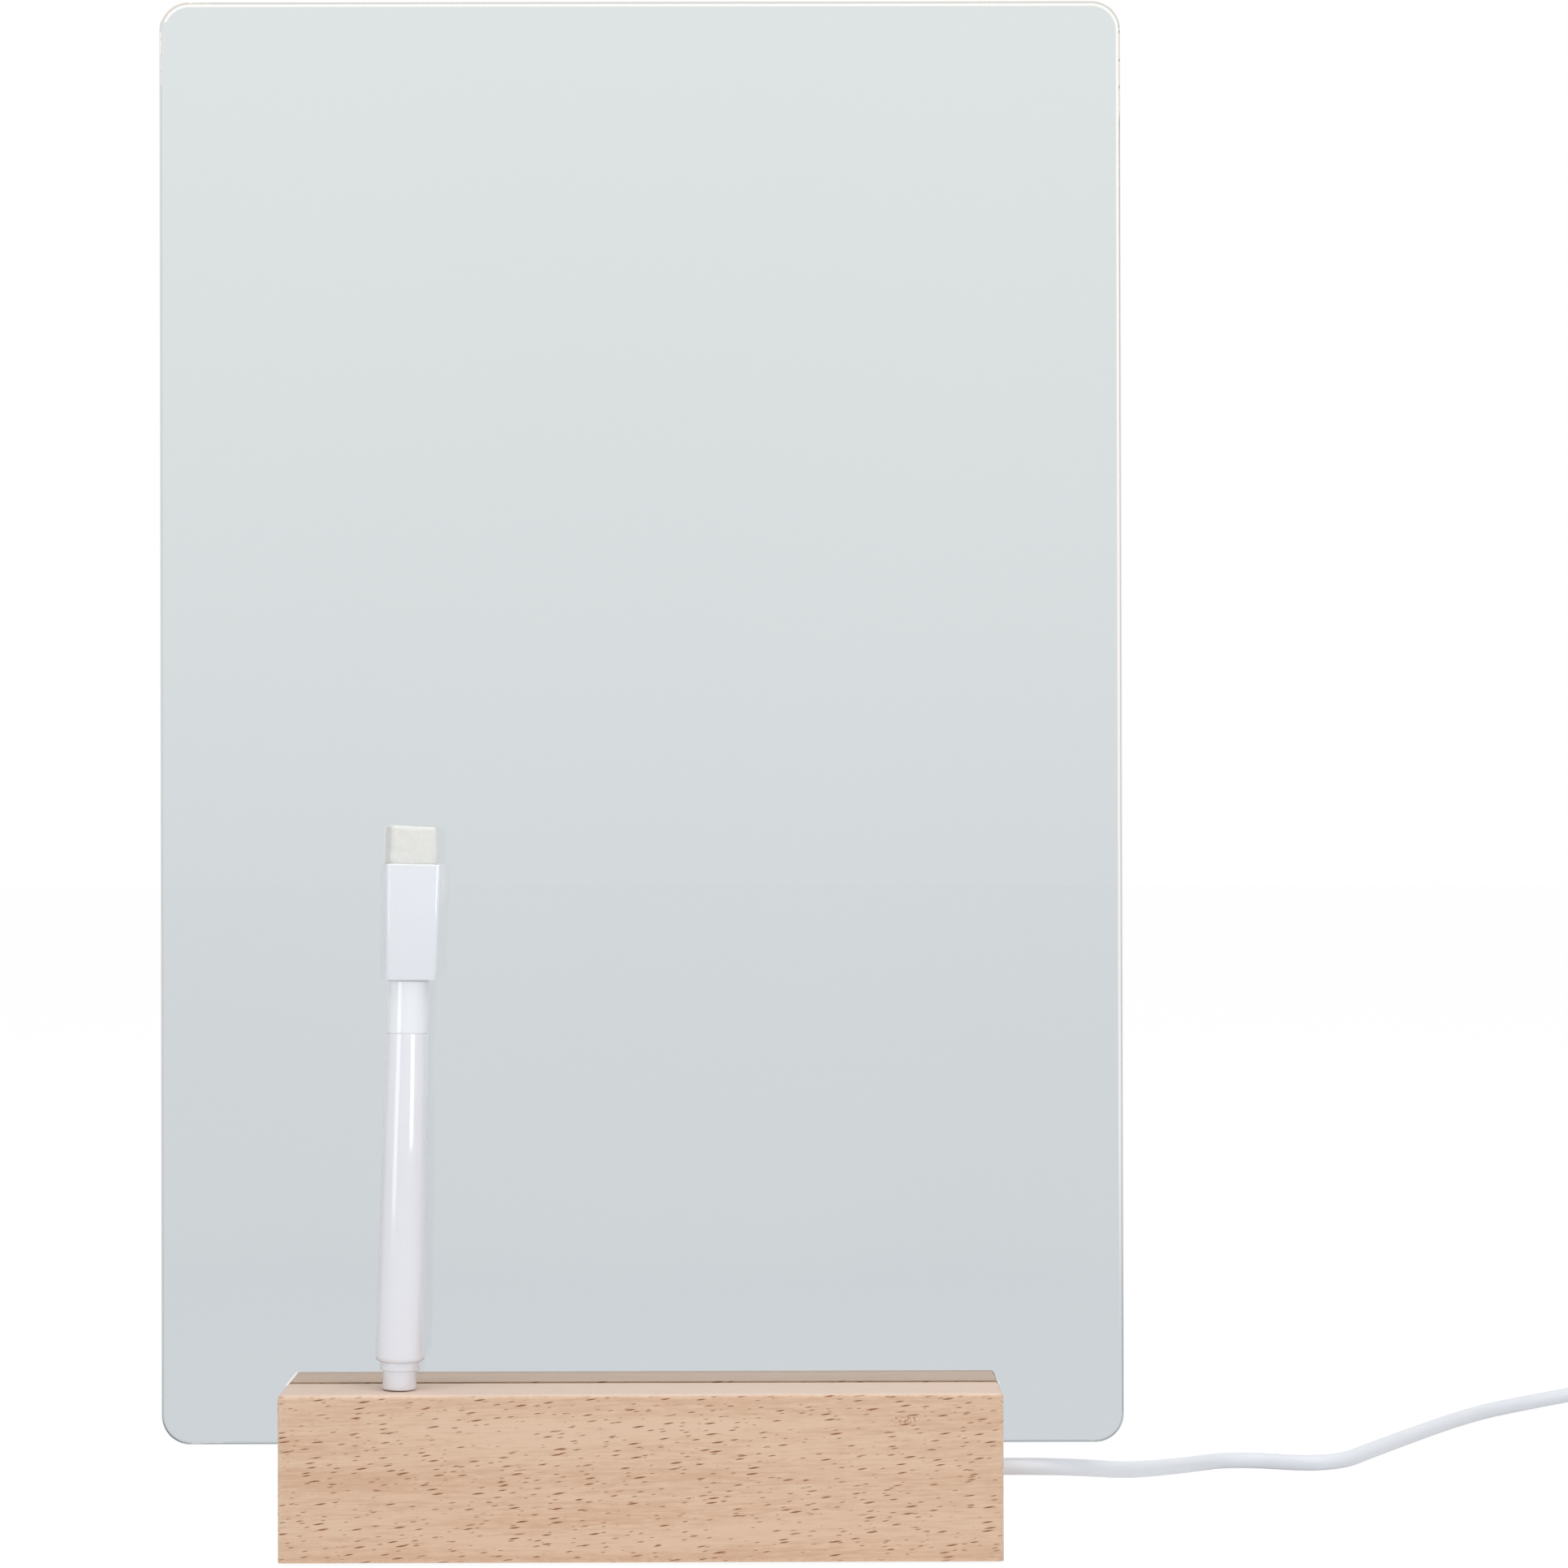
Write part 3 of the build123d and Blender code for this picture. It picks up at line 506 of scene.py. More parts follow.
def beech_material(settings):
    """Beech with its grain, a little lighter along its edges: a painted highlight where the rounded
    edges catch the light.
    """
    material, tree, shader, place = new_material("beech_finish")
    wood = grouped(
        tree, beech_group(), Vector=place.outputs["Object"], Normal=place.outputs["Normal"],
        Pale=settings.pale, Warm=settings.warm, Top=settings.top, Fleck=settings.fleck,
    )
    highlight = grouped(
        tree, edge_highlight_group(), Vector=place.outputs["Object"], Width=settings.edge_highlight_width,
        Half_Size=(BASE_HIGH - BASE_LOW) / 2, Middle=(BASE_HIGH + BASE_LOW) / 2,
    )
    # Painted highlight: the edges are lightened where their rounding would catch the light
    edge_highlight = calc(tree, "MULTIPLY", highlight["Mask"], 0.45)
    wire(tree, mixed(tree, edge_highlight, wood["Colour"], settings.edge_highlight), shader.inputs["Base Color"])
    wire(tree, wood["Roughness"], shader.inputs["Roughness"])
    add_bump(tree, shader, wood["Height"], 0.25)
    shader.inputs["Specular IOR Level"].default_value = 0.35
    return material


def edge_distance_group():
    """How far a point lies inside the outline of a rounded rectangle that faces along Y."""
    group, given, out = new_group(
        "edge distance",
        (("Vector", VECTOR), ("Middle", VECTOR), ("Core", VECTOR), ("Corner", NUMBER)),
        (("Inset", NUMBER),),
    )
    away = vector_calc(group, "SUBTRACT", given["Vector"], given["Middle"])
    away = vector_calc(group, "ABSOLUTE", away)
    x, _, z = parts_of(group, vector_calc(group, "SUBTRACT", away, given["Core"]))
    square_x = calc(group, "POWER", calc(group, "MAXIMUM", x, 0.0), 2.0)
    square_z = calc(group, "POWER", calc(group, "MAXIMUM", z, 0.0), 2.0)
    outside = calc(group, "SQRT", calc(group, "ADD", square_x, square_z))
    inside = calc(group, "MINIMUM", calc(group, "MAXIMUM", x, z), 0.0)
    distance = calc(group, "ADD", outside, inside)
    wire(group, calc(group, "SUBTRACT", given["Corner"], distance), out["Inset"])
    return group


def acrylic_material(settings):
    """Clear acrylic, a little grey-blue, with painted shade that darkens it towards its lower edge,
    a painted pale strip above the slot and a painted glow on its rim where the sheet's light leaves
    it.
    """
    material, tree, shader, place = new_material("clear_acrylic_finish")
    x, y, z = parts_of(tree, place.outputs["Object"])
    # Painted shade: the sheet is tinted darker towards its lower edge, with a soft uneven haze over
    # the change
    height = span(tree, z, BOARD_LOW.z + 0.03, BOARD_HIGH.z, smooth=False)
    haze = cloudy(tree, scaled(tree, place.outputs["Object"], (5, 5, 3)), 1.0, 2.0)
    haze = calc(tree, "MULTIPLY", calc(tree, "SUBTRACT", haze, 0.5), 0.25)
    share = calc(tree, "MAXIMUM", calc(tree, "ADD", height, haze), 0.0)
    share = calc(tree, "POWER", share, 0.7)
    tint = mixed(tree, share, settings.shaded_low_tint, settings.high_tint)

    # Painted light: a thin paler strip above the slot, narrower at its top, where the wood behind
    # shows through, so that the wood there looks lit
    foot = span(tree, z, BASE_HIGH.z + FOOT_END, BASE_HIGH.z + FOOT_FADE)
    past_end = calc(tree, "MULTIPLY_ADD", z, FOOT_NARROWING, calc(tree, "ABSOLUTE", x))
    over_base = calc(tree, "LESS_THAN", past_end, BASE_HIGH.x + FOOT_NARROWING * BASE_HIGH.z)
    above_slot = calc(tree, "GREATER_THAN", z, BASE_HIGH.z + FOOT_START)
    foot = calc(tree, "MULTIPLY", foot, above_slot)
    tint = mixed(tree, calc(tree, "MULTIPLY", foot, over_base), tint, settings.painted_foot_light)
    wire(tree, tint, shader.inputs["Base Color"])
    rubbed = cloudy(tree, scaled(tree, place.outputs["Object"], (40, 40, 25)), 1.0, 5.0, 0.7)
    wire(tree, span(tree, rubbed, 0.35, 0.8, 0.0, 0.02), shader.inputs["Roughness"])
    shader.inputs["Transmission Weight"].default_value = 1.0
    shader.inputs["IOR"].default_value = ACRYLIC_IOR

    # Painted glow on the rim, where the sheet's light leaves it: bright on the sides, weaker in a
    # thin line on the back, faint on the bevels
    half = (BOARD_HIGH - BOARD_LOW) / 2
    inset = grouped(
        tree, edge_distance_group(), Vector=place.outputs["Object"], Corner=BOARD_CORNER,
        Middle=(BOARD_LOW + BOARD_HIGH) / 2,
        Core=(half.x - BOARD_CORNER, 0, half.z - BOARD_CORNER),
    )["Inset"]
    _, normal_y, _ = parts_of(tree, place.outputs["Normal"])
    facing = calc(tree, "ABSOLUTE", normal_y)
    bevelled = calc(tree, "MULTIPLY", calc(tree, "LESS_THAN", facing, 0.9), BEVEL_SHARE)
    side = calc(tree, "LESS_THAN", facing, 0.3)
    back = calc(tree, "GREATER_THAN", y, 0.0008)
    line = span(tree, inset, LINE_END, LINE_FADE)
    line = calc(tree, "MULTIPLY", line, span(tree, inset, LINE_START, LINE_FULL))
    upper = span(tree, z, BOARD_LOW.z + 0.015, BOARD_LOW.z + 0.075)
    from_left = span(tree, x, BOARD_LOW.x + 0.002, BOARD_LOW.x + 0.006)
    top = calc(tree, "GREATER_THAN", z, BOARD_HIGH.z - 0.004)
    line = calc(tree, "MULTIPLY", line, calc(tree, "MAXIMUM", from_left, top))
    line = calc(tree, "MULTIPLY", calc(tree, "MULTIPLY", line, back), LINE_SHARE)
    line = calc(tree, "MULTIPLY", calc(tree, "MAXIMUM", line, bevelled), upper)
    side = calc(tree, "MULTIPLY", side, span(tree, z, BOARD_LOW.z + 0.004, BOARD_LOW.z + 0.03))
    lit = calc(tree, "MAXIMUM", line, side)
    wire(tree, mixed(tree, lit, (0, 0, 0, 1), settings.painted_rim_glow), shader.inputs["Emission Color"])
    shader.inputs["Emission Strength"].default_value = settings.painted_rim_glow_strength

    # Light passes on through the sheet to what lies behind it
    path = tree.nodes.new("ShaderNodeLightPath")
    clear = tree.nodes.new("ShaderNodeBsdfTransparent")
    wire(tree, tint, clear.inputs["Color"])
    shadow = path.outputs["Is Shadow Ray"]
    blended(tree, shadow, shader.outputs[0], clear.outputs[0], "OUTPUT_MATERIAL")
    return material


# Mesh helpers


def carried(piece, body, stands_for):
    """Puts a piece in the scene and on its body, in place of its nodes."""
    bpy.context.scene.collection.objects.link(piece)
    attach(piece, body)
    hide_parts(*stands_for)


def finished(name, bm, material, body, stands_for, sharp=35.0):
    """Makes a piece of a bmesh, smooth but for edges sharper than that many degrees."""
    mesh = bpy.data.meshes.new(name)
    bm.to_mesh(mesh)
    bm.free()
    mesh.materials.append(material)
    mesh.shade_smooth()
    mesh.set_sharp_from_angle(angle=math.radians(sharp))
    carried(bpy.data.objects.new(name, mesh), body, stands_for)


def finish_nodes(**finishes):
    """Gives each named node of the construction its material."""
    for name, material in finishes.items():
        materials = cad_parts[name].data.materials
        materials.clear()
        materials.append(material)


def quarter(middle, radius, start, end, steps=5):
    """Points of an arc in the profile plane, angles in degrees."""
    angles = [math.radians(start + (end - start) * step / steps) for step in range(steps + 1)]
    return [
        (middle[0] + radius * math.cos(angle), middle[1] + radius * math.sin(angle))
        for angle in angles
    ]


def turned(profile, place, steps=64):
    """Spins a profile of (radius, height) points, in millimetres, round Z, and places it."""
    bm = bmesh.new()
    points = [bm.verts.new((radius * MM, 0, height * MM)) for radius, height in profile]
    edges = [bm.edges.new(pair) for pair in zip(points, points[1:])]
    bmesh.ops.spin(
        bm, geom=points + edges, cent=(0, 0, 0), axis=(0, 0, 1), angle=2 * math.pi,
        steps=steps, use_merge=True,
    )
    bmesh.ops.remove_doubles(bm, verts=bm.verts[:], dist=1e-6)
    bmesh.ops.recalc_face_normals(bm, faces=bm.faces[:])
    bmesh.ops.transform(bm, matrix=place, verts=bm.verts[:])
    return bm


def bevel(bm, edges, offset, segments):
    """Rounds edges to that radius."""
    bmesh.ops.bevel(
        bm, geom=edges, offset=offset, offset_type="OFFSET", segments=segments,
        profile=0.5, affect="EDGES", material=-1, clamp_overlap=True,
    )


def block(width, bottom, top, corner, corner_segments, rim, taper):
    """A square block round Z with rounded corners and rims, whose top is taper times as wide."""
    size = (width, width, top - bottom)
    bm = bmesh.new()
    bmesh.ops.create_cube(bm, size=1.0)
    bmesh.ops.translate(bm, vec=(0.5, 0.5, 0.5), verts=bm.verts[:])
    bmesh.ops.scale(bm, vec=size, verts=bm.verts[:])
    middle = Vector((size[0] / 2, size[1] / 2, 0))
    for vert in bm.verts:
        if vert.co.z > size[2] / 2:
            vert.co.xy = (middle + (vert.co - middle) * taper).xy
    upright = [e for e in bm.edges if abs(e.verts[0].co.z - e.verts[1].co.z) > size[2] / 2]
    bevel(bm, upright, corner, corner_segments)
    caps = [f for f in bm.faces if abs(f.normal.z) > 0.9]
    bevel(bm, list({e for f in caps for e in f.edges}), rim, RIM_SEGMENTS)
    bmesh.ops.translate(bm, vec=(-width / 2, -width / 2, bottom), verts=bm.verts[:])
    return bm


def joined(parts):
    """One bmesh of several."""
    whole = bmesh.new()
    for part in parts:
        mesh = bpy.data.meshes.new("part")
        part.to_mesh(mesh)
        part.free()
        whole.from_mesh(mesh)
        bpy.data.meshes.remove(mesh)
    return whole


# Settings


def colour_setting(name, description, *screen):
    """A colour that a user can change; its default is given as 0 to 255 screen values."""
    return bpy.props.FloatVectorProperty(
        name=name, description=description, subtype="COLOR", size=4, default=srgb(*screen),
        min=0, max=1,
    )


def power_setting(name, description, watts):
    """The power of a lamp."""
    return bpy.props.FloatProperty(
        name=name, description=description, default=watts, min=0, max=100,
    )


def angle_setting(name, description, degrees):
    """An angle of the camera."""
    return bpy.props.FloatProperty(
        name=name, description=description, subtype="ANGLE", default=math.radians(degrees),
    )


class BoardSettings(bpy.types.PropertyGroup):
    """Finish of the clear board."""

    # Painted shade: the sheet's colour near its lower edge, darker than near its top
    shaded_low_tint: colour_setting(
        "Low Tint", "Colour of the clear sheet near its lower edge", 200, 205, 209,
    )
    high_tint: colour_setting("High Tint", "Colour of the clear sheet near its top", 221, 227, 227)
    # Painted light: the paler colour where the sheet enters the base lightens the wood seen through
    # it
    painted_foot_light: colour_setting(
        "Foot Tint", "Colour of the clear sheet where it enters the base", 234, 232, 228,
    )
    # Painted glow on the sheet's rim: its colour and how bright it is
    painted_rim_glow: colour_setting(
        "Rim Light", "Colour of the light that leaves the sheet's rim", 255, 226, 208,
    )
    painted_rim_glow_strength: bpy.props.FloatProperty(
        name="Rim Strength", description="How bright the lit rim is", default=0.9, min=0, max=20,
    )


class WoodSettings(bpy.types.PropertyGroup):
    """Finish of the beech base."""

    pale: colour_setting("Pale", "Lighter tone of the beech", 227, 197, 171)
    warm: colour_setting("Warm", "Darker, warmer tone of the beech", 211, 174, 145)
    # Painted light: the top face's lighter tone stands in for the light from above
    top: colour_setting("Top", "Tone of the smoother top face", 232, 212, 199)
    fleck: colour_setting("Fleck", "Colour of the short dark flecks", 140, 82, 52)
    # Painted highlight along the edges, where their rounding catches the light: its colour and width
    edge_highlight: colour_setting("Worn Edge", "Colour of the rubbed edges", 236, 212, 192)
    edge_highlight_width: bpy.props.FloatProperty(
        name="Worn Width", description="How far the rubbing reaches from an edge",
        default=0.0009, min=0, max=0.01, subtype="DISTANCE", unit="LENGTH",
    )


class MarkerSettings(bpy.types.PropertyGroup):
    """Finish of the marker."""

    barrel: colour_setting("Barrel", "Colour of the barrel and end plug", 232, 233, 240)
    section: colour_setting("Section", "Colour of the front section", 243, 246, 251)
    cap: colour_setting("Cap", "Colour of the cap", 232, 236, 243)
    felt: colour_setting("Felt", "Colour of the eraser", 236, 237, 233)


class LeadSettings(bpy.types.PropertyGroup):
    """Finish of the lead, its switch and its plug."""

    jacket: colour_setting("Jacket", "Colour of the lead's jacket", 232, 235, 241)
    shell: colour_setting("Shell", "Colour of the switch and the plug's body", 232, 234, 236)


class StageSettings(bpy.types.PropertyGroup):
    """Camera and light."""

    eye: bpy.props.FloatVectorProperty(
        name="Eye", description="Where the camera stands", subtype="TRANSLATION", unit="LENGTH",
        default=(0.0265, -0.8039, 0.1565),
    )
    yaw: angle_setting("Yaw", "Turn of the camera to the right", 0.22)
    pitch: angle_setting("Pitch", "Tilt of the camera upwards", 0.19)
    roll: angle_setting("Roll", "Roll of the camera, its right side up", -0.13)
    lens: bpy.props.FloatProperty(
        name="Lens", description="Focal length in millimetres on a 36 mm sensor", default=88.62,
        min=10, max=300,
    )
    world_light: bpy.props.FloatProperty(
        name="World Light", description="Strength of the even light all round", default=0.4,
        min=0, max=5,
    )
    key_light: power_setting("Key Light", "Power of the soft light from the right, in watts", 3.6)
    strip_light: power_setting("Strip Light", "Power of the tall light from the left, in watts", 2.7)
    top_light: power_setting("Top Light", "Power of the soft light from above, in watts", 7.2)


# Operators, one for each piece or group of like pieces


class WRITINGBOARD_OT_clear_board(bpy.types.Operator):
    """Finish the clear writing sheet"""

    bl_idname = "writingboard.clear_board"
    bl_label = "Clear Board"

    def execute(self, context):
        finish_nodes(acrylic_board=acrylic_material(context.scene.writing_board))
        return {"FINISHED"}


class WRITINGBOARD_OT_wood_base(bpy.types.Operator):
    """Finish the beech base"""

    bl_idname = "writingboard.wood_base"
    bl_label = "Beech Base"

    def execute(self, context):
        finish_nodes(wood_base=beech_material(context.scene.writing_wood))
        return {"FINISHED"}


class WRITINGBOARD_OT_light_bar(bpy.types.Operator):
    """Finish the light bar and the wiring inside the base"""

    bl_idname = "writingboard.light_bar"
    bl_label = "Light Bar"

    def execute(self, context):
        finish_nodes(
            led_board=moulded("white_board", srgb(236, 236, 231), 0.45),
            leds=moulded("led_lens", srgb(255, 226, 150), 0.2, glow=1.5),
            led_resistors=moulded("black_component", srgb(38, 38, 40), 0.5),
            solder_joints=moulded("solder", srgb(206, 206, 208), 0.25, metallic=1.0),
            bar_screws=screw_finish(),
            feed_wire_red=moulded("red_wire", srgb(190, 40, 34), 0.4),
            feed_wire_black=moulded("black_wire", srgb(34, 34, 36), 0.4),
            cord_inside=jacket_finish(context.scene.writing_lead),
            cord_stop_tie=moulded("white_nylon", srgb(232, 231, 226), 0.45),
            cord_grommet=moulded("white_soft_plastic", srgb(228, 231, 236), 0.5),
        )
        return {"FINISHED"}


class WRITINGBOARD_OT_underside(bpy.types.Operator):
    """Finish the cover, screws and grip pads under the base"""

    bl_idname = "writingboard.underside"
    bl_label = "Underside"

    def execute(self, context):
        finish_nodes(
            bottom_cover=moulded("cover_plastic", srgb(224, 223, 219), 0.55, bump=0.2),
            cover_screws=screw_finish(),
            grip_pads=moulded("pad_rubber", srgb(52, 52, 54), 0.8, bump=0.3),
        )
        return {"FINISHED"}


class WRITINGBOARD_OT_marker_body(bpy.types.Operator):
    """Build the marker's barrel, end plug, section and nib"""

    bl_idname = "writingboard.marker_body"
    bl_label = "Marker Body"

    def execute(self, context):
        settings = context.scene.writing_marker
        white = moulded(
            "marker_white", settings.barrel, 0.14, tone=0.03, patch=90.0, bump=0.02, coat=1.0,
        )
        plug_top, seam, shoulder, nose = 5.7, 73.1, 84.0, 94.5
        plug = [(0, 0), (3.2, 0)]
        plug += quarter((3.2, 0.3), 0.3, -90, 0)
        plug += [(3.5, 3.9), (3.6, 4.0)]
        plug += quarter((3.85, 4.25), 0.25, -90, 0)
        plug += quarter((3.95, plug_top - 0.15), 0.15, 0, 90)
        plug += [(3.5, plug_top), (3.5, plug_top + 5), (0, plug_top + 5)]
        finished(
            "marker_end_plug", turned(plug, PEN), white, "marker", ["marker_plug"],
        )
        barrel = [(3.55, plug_top), (4.0, plug_top)]
        barrel += quarter((4.0, plug_top + 1.1), 1.1, -90, 0, 8)
        barrel += [(4.95, 25), (4.78, 45), (4.35, seam - 0.1), (4.3, seam)]
        barrel += [(3.55, seam), (3.55, plug_top)]
        finished(
            "marker_tube", turned(barrel, PEN), white, "marker", ["marker_barrel"],
        )
        section = [(3.0, seam - 7), (3.5, seam - 7), (3.5, seam + 0.02), (4.27, seam + 0.02)]
        section += [(4.35, seam + 0.15), (4.35, seam + 0.4), (4.35, shoulder - 0.2)]
        section += [(4.2, shoulder), (3.7, shoulder), (3.7, nose - 3.9)]
        section += quarter((3.3, nose - 3.9), 0.4, 0, 60)
        section += [(2.0, nose - 0.2), (1.85, nose), (1.15, nose), (1.15, shoulder)]
        section += [(3.0, shoulder), (3.0, seam - 7)]
        gloss = moulded(
            "marker_section_white", settings.section, 0.09, tone=0.03, bump=0.02,
            smears=0.05, coat=1.0,
        )
        finished(
            "marker_front", turned(section, PEN), gloss, "marker",
            ["marker_section"],
        )
        nib = [(0, shoulder - 0.1), (1.1, shoulder - 0.1), (1.1, nose + 2.7)]
        nib += quarter((0.0, nose + 2.85), 1.1, 8, 90, 8)
        ink = moulded("felt_nib", srgb(44, 44, 48), 0.85, tone=0.3, grain=3000.0, bump=0.5)
        finished("marker_tip", turned(nib, PEN, 32), ink, "marker", ["marker_nib"])
        finish_nodes(ink_reservoir=moulded("fibre_reservoir", srgb(96, 96, 100), 0.85, tone=0.3))
        return {"FINISHED"}


class WRITINGBOARD_OT_marker_cap(bpy.types.Operator):
    """Build the marker's cap, with its bore and the eraser's pocket"""

    bl_idname = "writingboard.marker_cap"
    bl_label = "Marker Cap"

    def execute(self, context):
        bottom, top, bore_top = 84.1 * MM, 107.9 * MM, 104.9 * MM
        low_width, high_width, bore_radius = 10.7 * MM, 11.5 * MM, 3.9 * MM
        pocket_width, pocket_depth = 10.3 * MM, 1.6 * MM
        corner, rim_round = 1.15 * MM, 0.35 * MM
        bm = block(low_width, bottom, top, corner, 7, rim_round, high_width / low_width)

        # The bore: a ring in the mouth, its wall and its closed end
        mouth = min(bm.faces, key=lambda face: face.calc_center_median().z)
        outer = list(mouth.edges)
        bmesh.ops.delete(bm, geom=[mouth], context="FACES_ONLY")
        ring = bmesh.ops.create_circle(
            bm, cap_ends=False, segments=len(outer), radius=bore_radius,
            matrix=Matrix.Translation((0, 0, bottom)),
        )["verts"]
        inner = list({edge for vert in ring for edge in vert.link_edges})
        bmesh.ops.bridge_loops(bm, edges=outer + inner)
        inner = [edge for edge in bm.edges if all(vert in ring for vert in edge.verts)]
        walls = bmesh.ops.extrude_edge_only(bm, edges=inner)["geom"]
        far = [item for item in walls if isinstance(item, bmesh.types.BMVert)]
        bmesh.ops.translate(bm, vec=(0, 0, bore_top - bottom), verts=far)
        end = {e for v in far for e in v.link_edges if all(w in far for w in e.verts)}
        bmesh.ops.holes_fill(bm, edges=list(end), sides=0)

        # The eraser's pocket in the top
        crown = max(bm.faces, key=lambda face: face.calc_center_median().z)
        wall = (high_width - pocket_width) / 2 - rim_round
        bmesh.ops.inset_region(bm, faces=[crown], thickness=wall)
        floor = bmesh.ops.extrude_face_region(bm, geom=[crown])["geom"]
        sunk = [item for item in floor if isinstance(item, bmesh.types.BMVert)]
        bmesh.ops.translate(bm, vec=(0, 0, -pocket_depth), verts=sunk)
        bmesh.ops.delete(bm, geom=[crown], context="FACES_ONLY")
        bmesh.ops.recalc_face_normals(bm, faces=bm.faces[:])
        bmesh.ops.transform(bm, matrix=CAP, verts=bm.verts[:])
        gloss = moulded(
            "cap_white", context.scene.writing_marker.cap, 0.1, tone=0.03, patch=80.0,
            bump=0.02, smears=0.05, coat=1.0,
        )
        finished("marker_cap_shell", bm, gloss, "cap", ["marker_cap"], sharp=28.0)
        return {"FINISHED"}


class WRITINGBOARD_OT_eraser(bpy.types.Operator):
    """Build the felt eraser, with soft uneven sides"""

    bl_idname = "writingboard.eraser"
    bl_label = "Felt Eraser"

    def execute(self, context):
        width, bottom, top = 10.0 * MM, 106.35 * MM, 115.8 * MM
        loose_from, lean = 108.2 * MM, 0.25 * MM
        bm = block(width, bottom, top, 1.1 * MM, 4, 0.7 * MM, 0.965)
        long_edges = [edge for edge in bm.edges if edge.calc_length() > 1.2 * MM]
        bmesh.ops.subdivide_edges(bm, edges=long_edges, cuts=14, use_grid_fill=True)
        bmesh.ops.triangulate(bm, faces=[f for f in bm.faces if len(f.verts) > 4])
        for vert in bm.verts:
            broad, fine = noise.noise(vert.co * 420) * 0.16, noise.noise(vert.co * 1500) * 0.1
            above = max(0.0, (vert.co.z - loose_from) / (top - loose_from))
            out = Vector((vert.co.x, vert.co.y, 0)).normalized()
            wave = (broad + fine) * MM * min(1.0, above * 6)
            vert.co += (out + Vector((0, 0, 0.6))) * wave
            vert.co.z -= above * lean * (vert.co.x / width + 0.5)
        bmesh.ops.transform(bm, matrix=CAP, verts=bm.verts[:])
        felt = moulded(
            "eraser_felt_white", context.scene.writing_marker.felt, 0.95, tone=0.12,
            patch=700.0, grain=2600.0, bump=0.9, sheen=0.4,
        )
        finished("eraser_pad", bm, felt, "cap", ["eraser_felt"], sharp=60.0)
        return {"FINISHED"}


def coil_point(turn):
    """The coil's line after so many turns: in along the table, up, and out on top."""
    half = COIL_TURNS / 2
    away = abs(turn - half)
    if away < COIL_CLIMB / 2:
        radius = COIL_OUTER - COIL_PITCH * (half - COIL_CLIMB / 4 - away**2 / COIL_CLIMB)
    else:
        radius = COIL_OUTER - COIL_PITCH * (half - away)
    share = min(1.0, max(0.0, (turn - half) / COIL_CLIMB + 0.5))
    rise = COIL_RISE * share**2 * (3 - 2 * share)
    angle = -2 * math.pi * turn
    return COIL_MIDDLE + Vector((radius * math.cos(angle), radius * math.sin(angle), rise))


def lead_curve(name, points, material, stands_for):
    """A round lead whose line is a smooth spline with those control points."""
    curve = bpy.data.curves.new(name, "CURVE")
    curve.dimensions = "3D"
    curve.resolution_u = 8
    curve.bevel_depth = LEAD_DIAMETER / 2
    curve.bevel_resolution = 6
    curve.use_fill_caps = True
    spline = curve.splines.new("NURBS")
    spline.points.add(len(points) - 1)
    for point, place in zip(spline.points, points):
        point.co = (*place, 1.0)
    spline.order_u = 3
    spline.use_endpoint_u = True
    curve.materials.append(material)
    carried(bpy.data.objects.new(name, curve), "stand", stands_for)


class WRITINGBOARD_OT_lead(bpy.types.Operator):
    """Lay the lead: to the switch, then to the coil and the plug"""

    bl_idname = "writingboard.lead"
    bl_label = "Lead"

    def execute(self, context):
        jacket = jacket_finish(context.scene.writing_lead)
        lead_curve("lead_to_switch", LEAD_ROUTE, jacket, ["cord_lead"])
        start = (coil_point(0) - coil_point(0.001)).normalized()
        end = (coil_point(COIL_TURNS) - coil_point(COIL_TURNS - 0.001)).normalized()
        points = list(MIDDLE_ROUTE)
        points += [coil_point(0) + start * (LEAD_DIAMETER + COIL_RUN_IN)]
        points += [coil_point(step / COIL_POINTS) for step in range(COIL_TURNS * COIL_POINTS + 1)]
        points += [coil_point(COIL_TURNS) + end * (LEAD_DIAMETER + COIL_RUN_OUT), *TAIL_ROUTE]
        lead_curve("lead_to_plug", points, jacket, ["cord_middle", "cord_coil", "cord_tail"])
        finish_nodes(coil_tie=moulded("tie_plastic", srgb(236, 236, 234), 0.5, bump=0.2))
        return {"FINISHED"}


class WRITINGBOARD_OT_switch(bpy.types.Operator):
    """Build the switch on the lead: shells, boots, board and button"""

    bl_idname = "writingboard.switch"
    bl_label = "Lead Switch"

    def execute(self, context):
        shell = shell_finish(context.scene.writing_lead)
        jacket = jacket_finish(context.scene.writing_lead)
        finish_nodes(
            switch_bottom=shell,
            switch_top=shell,
            switch_board=moulded("green_board", srgb(40, 110, 62), 0.4),
            switch_button=moulded("button_grey", srgb(205, 207, 209), 0.45, bump=0.12),
        )
        profile = [(1.9, 0), (3.2, 0), (3.2, 0.9), (2.85, 1.1), (2.85, 1.7), (3.0, 1.9)]
        profile += [(2.95, 2.6), (2.65, 2.8), (2.65, 3.4), (2.8, 3.6), (2.7, 4.3), (2.45, 4.5)]
        profile += [(2.45, 5.1), (2.55, 5.3), (2.5, 5.9), (2.4, 6.0), (1.9, 6.0), (1.9, 0)]
        boots = []
        for outward in (-1, 1):
            end = SWITCH_MIDDLE + Vector((outward * SWITCH_HALF_LENGTH, 0, 0))
            turn = Matrix.Rotation(outward * math.pi / 2, 4, "Y")
            boots.append(turned(profile, Matrix.Translation(end) @ turn, BOOT_STEPS))
        pair = joined(boots)
        finished("switch_boot_pair", pair, jacket, "stand", ["switch_boots"])
        return {"FINISHED"}


